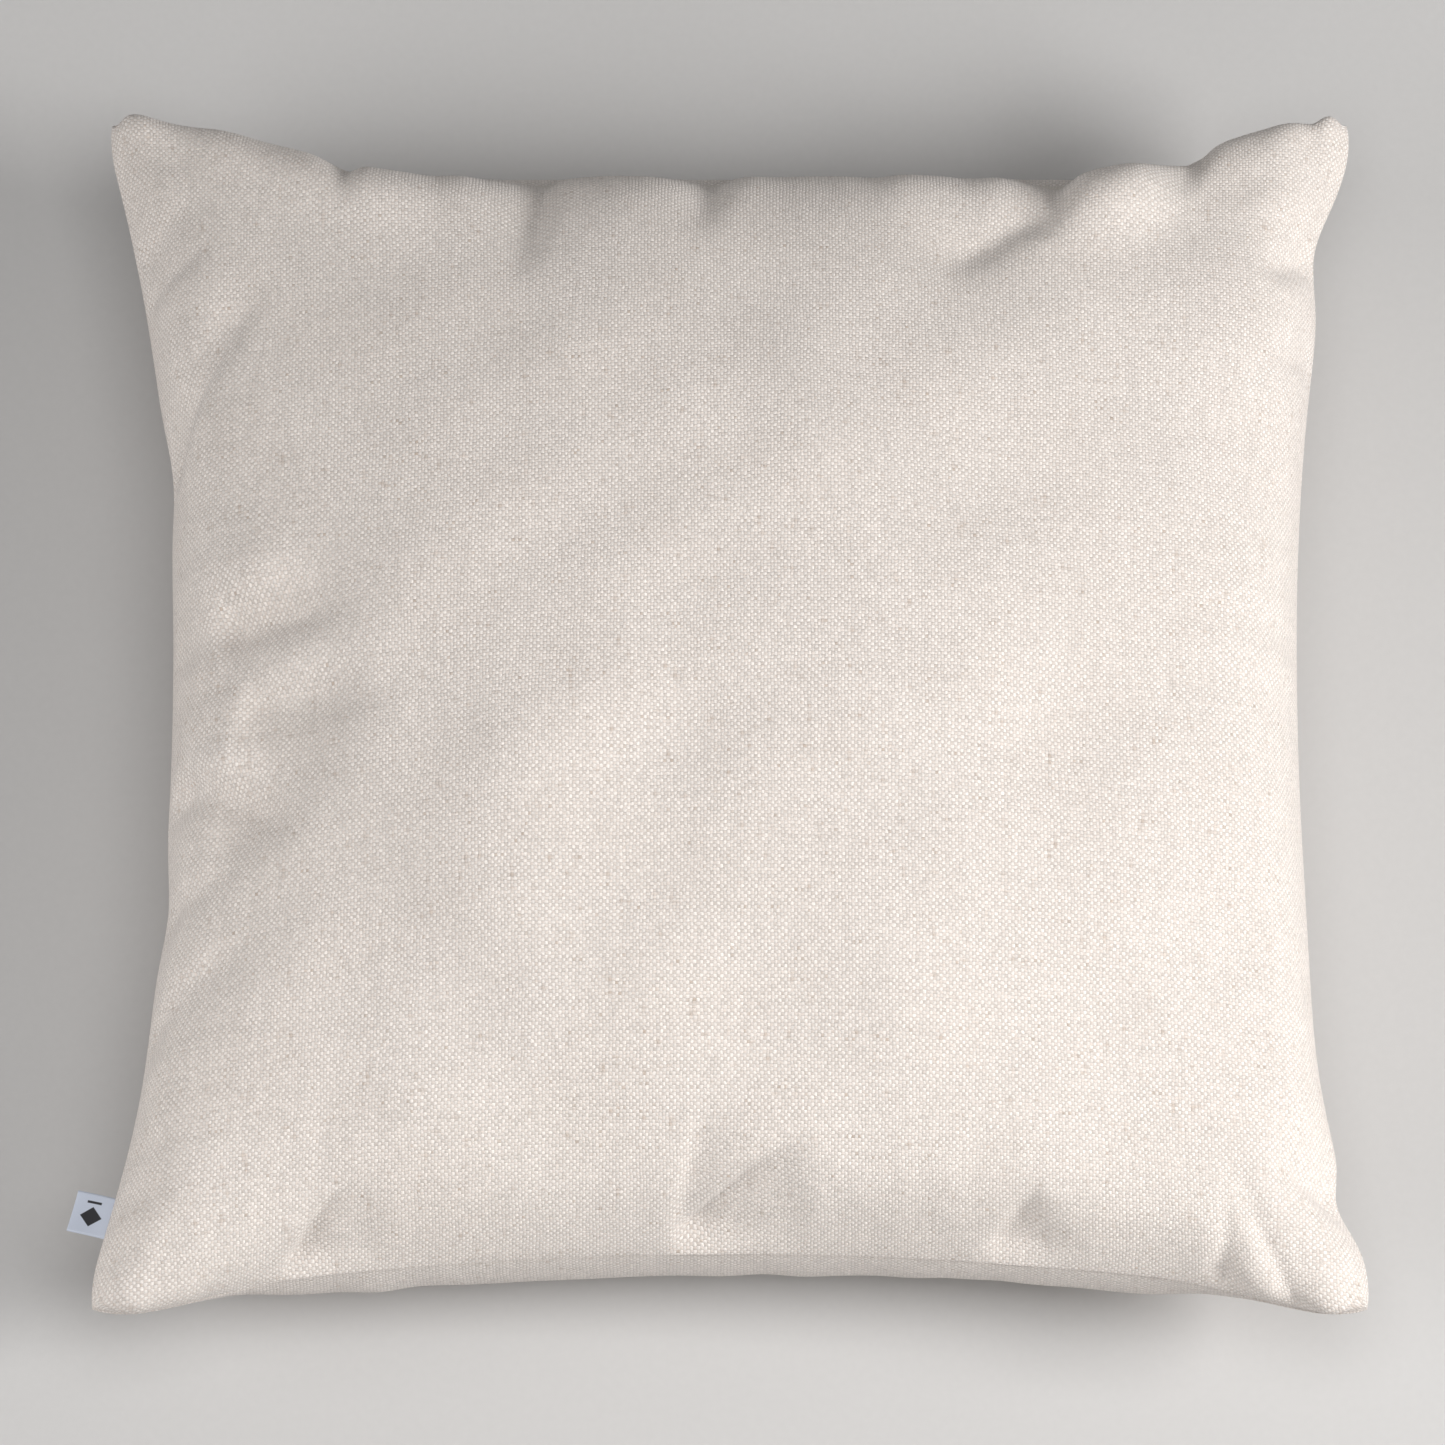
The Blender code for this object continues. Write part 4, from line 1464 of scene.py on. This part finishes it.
@dataclass
class InnerPad:
    """The sewn pad inside the cover: two casing halves, their thread and the fibre filling."""

    cover: FilledCover
    inset: float = 5.5 * MM
    far_inset: float = 10.5 * MM
    drop: float = 3.0 * MM
    fill_inset: float = 3.5 * MM
    fill_drop: float = 1.6 * MM
    cloth: float = 0.4 * MM
    stitch_inset: float = 1.2 * MM
    pitch: float = 3.0 * MM
    swing: float = 0.15 * MM
    radius: float = 0.2 * MM

    def build(self) -> None:
        """Make the casing halves, the thread round them and the filling."""
        casing = CASING.build()
        for face, name in ((Face.FRONT, "pad_casing_front"), (Face.BACK, "pad_casing_back")):
            grid = self.cover.inner_grid(face, self.inset, self.far_inset, self.drop)
            index = np.arange(grid.shape[0] * grid.shape[1]).reshape(grid.shape[:2])
            flat = self.cover.flat[:: self.cover.refine_by, :: self.cover.refine_by].reshape(-1, 2)
            uv = flat / WovenFinish.width + 0.5
            obj = add_mesh(name, grid.reshape(-1, 3), grid_quads(index)[:, :: face.value], uv)
            thicken(obj, self.cloth)
            dress(obj, casing)
            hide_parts("inner_pad_front" if face is Face.FRONT else "inner_pad_back")
            log.info("built %s", name)
        self.thread()
        self.filling()

    def thread(self) -> None:
        """The casing's closing stitch: a closed wave through the two halves, just inside their edge."""
        inset, far = self.inset + self.stitch_inset, self.far_inset + self.stitch_inset
        ring = ring_of(self.cover.inner_grid(Face.FRONT, inset, far, self.drop))
        ring[:, 2] = self.cover.plan.height
        points, faces = stitch(np.concatenate([ring, ring[:1]]), self.pitch, self.swing, self.radius)
        obj = add_mesh("pad_casing_stitch", points, faces)
        dress(obj, THREAD.build())
        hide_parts("inner_pad_seam_thread")

    def filling(self) -> None:
        """The fibre: both halves drawn in further and joined along one edge."""
        inset, far = self.inset + self.fill_inset, self.far_inset + self.fill_inset
        front, back = (self.cover.inner_grid(face, inset, far, self.drop + self.fill_drop) for face in Face)
        index = np.arange(front.shape[0] * front.shape[1]).reshape(front.shape[:2])
        inner = np.ones(index.shape, dtype=bool)
        inner[[0, -1]] = inner[:, [0, -1]] = False
        under = index.copy()
        under[inner] = index.size + np.arange(inner.sum())
        front[~inner, 2] = self.cover.plan.height
        points = np.concatenate([front.reshape(-1, 3), back[inner]])
        faces = np.concatenate([grid_quads(index), grid_quads(under)[:, ::-1]])
        obj = add_mesh("fibre_fill", points, faces)
        dress(obj, FIBRE.build())
        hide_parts("fibre_filling")
        log.info("built %s", obj.name)


def stitch(path: np.ndarray, pitch: float, swing: float, radius: float) -> Tuple[np.ndarray, List]:
    """A lockstitch thread: a tube that waves up and down along a level path, as a cosine of the length run.

    Args:
        path: (points, 3).
        pitch: length of one stitch, drawn in STITCH_STEPS steps.
        swing: how far it waves either way.
        radius: the thread's radius.
    Returns:
        Points and faces.
    """
    run = np.concatenate([[0.0], np.cumsum(np.linalg.norm(np.diff(path, axis=0), axis=1))])
    steps = np.linspace(0.0, run[-1], int(run[-1] / pitch) * STITCH_STEPS + 1)
    even = np.stack([np.interp(steps, run, path[:, axis]) for axis in range(3)], axis=1)
    even[:, 2] += swing * np.cos(2.0 * math.pi * steps / pitch)
    return tube(even, radius)


@dataclass
class CoverSeams:
    """The cover's sewn seams, stitched all round except along the zip."""

    cover: FilledCover
    inset: float = 1.0 * MM
    swing: float = 0.30 * MM
    radius: float = 0.22 * MM
    pitch: float = 3.0 * MM
    past_zip: float = 2 * MM

    def build(self) -> None:
        """Make one thread for each side, and one each side of the zip."""
        plan = self.cover.plan
        side = self.cover.flat.shape[0] - 1
        ring = ring_of(self.cover.grids[Face.FRONT])
        ring = ring * (1.0 - self.inset / plan.half_x, 1.0 - self.inset / plan.half_y, 1.0)
        ring = np.concatenate([ring, ring[:1]])
        near, right, far, left = (ring[k * side: (k + 1) * side + 1] for k in range(4))
        edge = plan.zip_half + self.past_zip
        parts = {
            "near": near, "right": right, "left": left,
            "far_right": far[far[:, 0] > edge], "far_left": far[far[:, 0] < -edge],
        }
        thread = THREAD.build()
        for name, path in parts.items():
            points, faces = stitch(path[1:-1], self.pitch, self.swing, self.radius)
            obj = add_mesh("stitching_" + name, points, faces)
            dress(obj, thread)
            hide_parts("seam_thread_" + name)
        log.info("built the stitching")


@dataclass
class Zip:
    """Tapes, coils and the finishes of the stops, tacks, slider and pull."""

    cover: FilledCover
    half: float = 0.198
    tape: float = 19 * MM
    tape_start: float = 1.0 * MM
    tape_cloth: float = 0.4 * MM
    tape_ease: Tuple[float, float] = (3 * MM, 12 * MM)
    inside_panel: float = 1.7 * MM
    inside_frame: float = 0.3 * MM
    wire: float = 0.27 * MM
    pitch: float = 1.25 * MM
    turn_steps: int = 9

    def build(self) -> None:
        """Make the tapes and coils and dress the carried-over hardware."""
        twill, nylon = TAPE.build(), NYLON.build()
        for face, name in ((Face.FRONT, "front"), (Face.BACK, "back")):
            tape = self.tape_band(face, "zip_band_" + name)
            thicken(tape, self.tape_cloth)
            dress(tape, twill)
            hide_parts("zip_tape_" + name)
            coil = self.coil_row("zip_coil_" + name, "zip_spiral_" + name)
            dress(coil, nylon)
            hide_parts("zip_coil_" + name)
        metal, thread = METAL.build(), THREAD.build()
        for node in ("zip_slider", "zip_pull", "zip_top_stop_front", "zip_top_stop_back", "zip_bottom_stop"):
            redress(node, metal)
        for node in ("zip_bar_tack_left", "zip_bar_tack_right"):
            redress(node, thread)
        log.info("built the zip")

    def tape_band(self, face: Face, name: str) -> bpy.types.Object:
        """One tape: from the coil it turns to lie against the inside of the panel.

        It leaves the coil upright and eases onto the panel, read a little inside its face.

        Args:
            face: the panel it is sewn to.
            name: its name.
        Returns:
            The object.
        """
        height = self.cover.plan.height
        x = np.linspace(-self.half, self.half, 121)
        run = np.linspace(self.tape_start, self.tape, 14)
        across, along = np.meshgrid(x, run, indexing="ij")
        border = self.cover.grids[face][:, -1]
        u = np.interp(across, border[:, 0], self.cover.flat[:, -1, 0])
        on_panel = self.cover.sample(face, u, self.cover.cut / 2.0 - along, self.inside_panel)
        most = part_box("zip_tape_front")[1][1] - self.inside_frame
        upright = np.stack([across, np.full_like(across, most), height + face.value * along], axis=-1)
        ease = smooth_step(*self.tape_ease, along)[..., None]
        points = upright * (1.0 - ease) + on_panel * ease
        points[..., 1] = np.minimum(points[..., 1], most)
        index = np.arange(across.size).reshape(across.shape)
        uv = np.stack([(across + self.half) / (2 * self.half), along / self.tape], axis=-1).reshape(-1, 2)
        faces = grid_quads(index) if face is Face.BACK else grid_quads(index)[:, ::-1]
        return add_mesh(name, points.reshape(-1, 3), faces, uv)

    def coil_row(self, node: str, name: str) -> bpy.types.Object:
        """One row of the coil: a wire wound round an upright oval along the zip.

        Args:
            node: the row it stands for, which gives its room.
            name: its name.
        Returns:
            The object.
        """
        low, high = (np.array(corner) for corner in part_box(node))
        middle, room = (low + high) / 2.0, (high - low) / 2.0 - self.wire
        turns = int(2.0 * room[0] / self.pitch)
        angle = np.linspace(0.0, turns, turns * self.turn_steps + 1) * 2.0 * math.pi
        x = np.linspace(middle[0] - room[0], middle[0] + room[0], len(angle))
        path = np.stack([x, middle[1] + room[1] * np.cos(angle), middle[2] + room[2] * np.sin(angle)], axis=1)
        return add_mesh(name, *tube(path, self.wire, sides=4, fixed=(1.0, 0.0, 0.0)))


def redress(node: str, material: bpy.types.Material) -> None:
    """Give a carried-over node its material.

    Args:
        node: the node.
        material: its material.
    """
    obj = bpy.data.objects[node]
    obj.data.materials.clear()
    obj.data.materials.append(material)


@dataclass
class SideLabel:
    """The folded satin label in the left seam."""

    cover: FilledCover
    width: float = 20 * MM
    reach: float = 18 * MM
    inner: float = 2.0 * MM
    half_thick: float = 0.45 * MM
    cloth: float = 0.22 * MM
    share: float = -0.837
    droop: float = 2.2 * MM
    curl: float = 0.9 * MM
    tilt: float = 0.6 * MM
    apart: float = 0.12 * MM
    close: Tuple[float, float] = (-0.14, 0.23)
    ply_steps: int = 26
    fold_steps: int = 9

    def run_points(self, straight: float) -> np.ndarray:
        """Positions along the tape: the upper ply, the fold and the lower ply.

        Args:
            straight: the length of one ply.
        Returns:
            The positions, from 0 to the tape's length.
        """
        bend = math.pi * self.half_thick
        upper = np.linspace(0.0, straight, self.ply_steps)[:-1]
        fold = straight + np.linspace(0.0, bend, self.fold_steps)[:-1]
        lower = np.linspace(straight + bend, 2.0 * straight + bend, self.ply_steps)
        return np.concatenate([upper, fold, lower])

    def build(self) -> None:
        """Make the label: a tape that goes out, turns round a small fold and comes back under.

        The fold is a half circle. Both plies sink by droop x (reach share)^2, curl up at both edges and
        tilt a little along the seam, and close up where they enter it."""
        cover = self.cover
        v = self.share * cover.cut / 2.0
        edge = cover.sample(Face.FRONT, np.full(3, -cover.cut / 2.0), v + np.array([-0.01, 0.0, 0.01]))
        along = unit((edge[2] - edge[0]) * (1.0, 1.0, 0.0))
        outward = np.cross(along, (0.0, 0.0, -1.0))
        fold = self.half_thick
        straight = self.reach - fold + self.inner
        length = 2.0 * straight + math.pi * fold
        run = self.run_points(straight)
        turn = np.clip((run - straight) / fold, 0.0, math.pi)
        bent = straight + fold * np.sin(turn)
        out = np.where(run < straight, run, np.where(run > length - straight, length - run, bent))
        w, k = np.meshgrid(np.linspace(-0.5, 0.5, 21) * self.width, np.arange(len(run)), indexing="ij")
        out, rise, s = out[k] - self.inner, (fold * np.cos(turn))[k], run[k] / length
        share = np.clip(out / self.reach, 0.0, 1.0)
        rise = rise * smooth_step(*self.close, share) + np.sign(rise) * self.apart
        curl = self.curl * share ** 2 * (w / self.width * 2.0) ** 2 - self.tilt * share * w / self.width
        points = edge[1] + along * w[..., None] + outward * out[..., None]
        points[..., 2] = cover.plan.height + rise - self.droop * share ** 2 + curl
        index = np.arange(w.size).reshape(w.shape)
        uv = np.stack([w / self.width + 0.5, s], axis=-1).reshape(-1, 2)
        obj = add_mesh("folded_label", points.reshape(-1, 3), grid_quads(index), uv)
        thicken(obj, self.cloth)
        dress(obj, SATIN.build())
        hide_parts("side_label")
        log.info("built %s", obj.name)


@dataclass
class CareLabel:
    """The blank care label, lying against the inside of the back panel by the left seam.

    Size is its flat size and is not used; start is its near left corner on the pattern and covers the patch
    it hides."""

    cover: FilledCover
    size: Tuple[float, float] = (30 * MM, 50 * MM)
    start: Tuple[float, float] = (-0.296, -0.09)
    covers: Tuple[float, float] = (20 * MM, 49 * MM)
    inside: float = 1.5 * MM
    cloth: float = 0.2 * MM

    def build(self) -> None:
        """Make the label as a patch of the back panel, read a little inside it."""
        u = self.start[0] + np.linspace(0.0, self.covers[0], 13)
        v = self.start[1] + np.linspace(0.0, self.covers[1], 21)
        across, along = np.meshgrid(u, v, indexing="ij")
        points = self.cover.sample(Face.BACK, across, along, self.inside)
        index = np.arange(across.size).reshape(across.shape)
        uv = np.stack([(across - u[0]) / self.covers[0], (along - v[0]) / self.covers[1]], axis=-1)
        faces = grid_quads(index)[:, ::-1]
        obj = add_mesh("blank_care_label", points.reshape(-1, 3), faces, uv.reshape(-1, 2))
        thicken(obj, self.cloth)
        dress(obj, PLAIN_SATIN.build())
        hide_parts("care_label")
        log.info("built %s", obj.name)


CREASES: Tuple[Crease, ...] = (
    # near seam
    Crease((-203, -300), (-180, -268), 7.5, 4.5, 22),
    Crease((-22, -300), (32, -262), 8.5, 3.5, 15),
    Crease((-24, -300), (-12, -250), 4.5, 4, 12),
    Crease((122, -300), (146, -278), 6.5, 4.5, 18),
    Crease((225, -300), (240, -262), 4.5, 5, 9),
    # left seam
    Crease((-296, 218), (-268, 250), 3.5, 7, 12),
    Crease((-301, 103), (-240, 196), 5.5, 13, 4.5),
    Crease((-296, 196), (-262, 226), 3.0, 9, 5.0),
    Crease((-292, 16), (-190, 20), 3.5, 18, 12),
    Crease((-268, 17), (-214, 20), 8.0, 15, 10),
    Crease((-276, -40), (-170, -28), 4.0, 18, 11),
    Crease((-254, -26), (-198, -22), 6.0, 14, 10),
    Crease((-292, -54), (-232, -88), 8.5, 12, 10),
    Crease((-300, -112), (-262, -106), 4.5, 9, 12),
    Crease((-300, -170), (-250, -140), 3.5, 6, 16),
    # far seam
    Crease((-178, 300), (-190, 264), 3.5, 5, 10),
    Crease((-86, 300), (-108, 212), 5.5, 9, 22),
    Crease((-7, 300), (-16, 240), 5.5, 10, 16),
    Crease((156, 300), (160, 244), 6.5, 8, 18),
    Crease((150, 256), (106, 220), 5.0, 14, 16),
    Crease((219, 300), (222, 262), 5.5, 10, 14),
    Crease((277, 300), (291, 258), 3.5, 6, 11),
    # right seam
    Crease((300, 222), (268, 208), 5.5, 9, 10),
    Crease((300, 172), (270, 160), 3.5, 9, 10),
    Crease((300, -246), (266, -236), 5.5, 9, 10),
    Crease((262, -298), (250, -250), 4.5, 8, 7),
)
SWELLS: Tuple[Swell, ...] = (
    Swell(192, 270, 25, 11.0), Swell(-172, 272, 24, 5.5), Swell(-206, 284, 24, 9.0),
    Swell(-244, 286, 16, 3.0), Swell(-287, 287, 11, 3.5), Swell(287, 287, 10, 2.0),
    Swell(285, -285, 13, 3.5), Swell(-285, -285, 13, 3.5), Swell(288, -272, 9, 1.5),
    Swell(-252, 40, 24, 3.5), Swell(268, 285, 12, 2.5), Swell(-262, -2, 20, -6.0),
    Swell(-236, -54, 25, -5.5), Swell(-262, -88, 15, -5.0), Swell(-270, -42, 13, 3.5),
    Swell(-150, 205, 40, -3.0), Swell(-100, 232, 26, -2.5), Swell(120, 236, 26, -3.0),
    Swell(20, 190, 45, -2.0), Swell(-215, 160, 40, -2.5),
)


# ---------------------------------------------------------------- the studio

@dataclass(frozen=True)
class Lamp:
    """A square soft light aimed at the cushion."""

    name: str
    place: Place
    size: float
    power: float
    colour: Colour
    target: Place = (0.0, 0.0, 0.08)

    def build(self) -> None:
        """Hang the light and turn it to its target."""
        lamp = bpy.data.lights.new(self.name, "AREA")
        lamp.energy = self.power
        lamp.size = self.size
        lamp.color = self.colour
        obj = bpy.data.objects.new(self.name, lamp)
        obj.location = self.place
        aim = Vector(self.target) - Vector(self.place)
        obj.rotation_euler = aim.to_track_quat("-Z", "Y").to_euler()
        bpy.context.scene.collection.objects.link(obj)


@dataclass
class Studio:
    """Pale floor, soft lights and the camera."""

    floor_half: float = 6.0
    lamps: Tuple[Lamp, ...] = (
        Lamp("key", (1.78, -0.48, 1.28), 0.8, 43.0, (1.0, 0.99, 0.98)),
        Lamp("fill", (-1.80, -0.80, 1.20), 1.6, 25.0, (1.0, 0.99, 0.985)),
        Lamp("overhead", (0.2, -0.60, 2.7), 1.4, 20.0, (1.0, 1.0, 1.0)),
    )
    world_light: float = 0.15
    elevation: float = 68.6
    distance: float = 6.5
    span: float = 0.6655
    aim: Place = (-0.0033, -0.0105, 0.08)
    sensor: float = 36.0

    def build(self) -> None:
        """Make the floor, lights, world and camera."""
        floor = level_square("floor", self.floor_half)
        floor.data.materials.append(FloorFinish().build())
        for lamp in self.lamps:
            lamp.build()
        bpy.context.scene.view_settings.view_transform = "Standard"
        world = bpy.data.worlds.new("studio")
        world.use_nodes = True
        background = world.node_tree.nodes["Background"]
        background.inputs["Color"].default_value = (1.0, 1.0, 1.0, 1.0)
        background.inputs["Strength"].default_value = self.world_light
        bpy.context.scene.world = world
        self.camera()

    def camera(self) -> None:
        """A long lens looking down from the near side: lens = sensor x distance / span of the frame."""
        data = bpy.data.cameras.new("camera")
        camera = bpy.data.objects.new("camera", data)
        tilt = math.radians(self.elevation)
        back = Vector((0.0, -math.cos(tilt), math.sin(tilt)))
        camera.location = Vector(self.aim) + back * self.distance
        camera.rotation_euler = (math.radians(90.0 - self.elevation), 0.0, 0.0)
        data.sensor_width = self.sensor
        data.lens = self.sensor * self.distance / self.span
        data.clip_end = 50.0
        bpy.context.scene.collection.objects.link(camera)
        bpy.context.scene.camera = camera


def main() -> None:
    """Build every piece in order."""
    logging.basicConfig(level=logging.INFO, format="%(message)s")
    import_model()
    Studio().build()
    plan = SeamPlan.from_frame()
    cover = FilledCover(plan)
    cover.simulate()
    cover.finish_shape(CREASES, SWELLS)
    weave = WovenFinish().build()
    for face in Face:
        panel = CoverPanel(cover, face).build(weave)
        log.info("built %s", panel.name)
    for piece in (InnerPad(cover), CoverSeams(cover), Zip(cover), SideLabel(cover), CareLabel(cover)):
        piece.build()


if __name__ == "__main__":
    main()
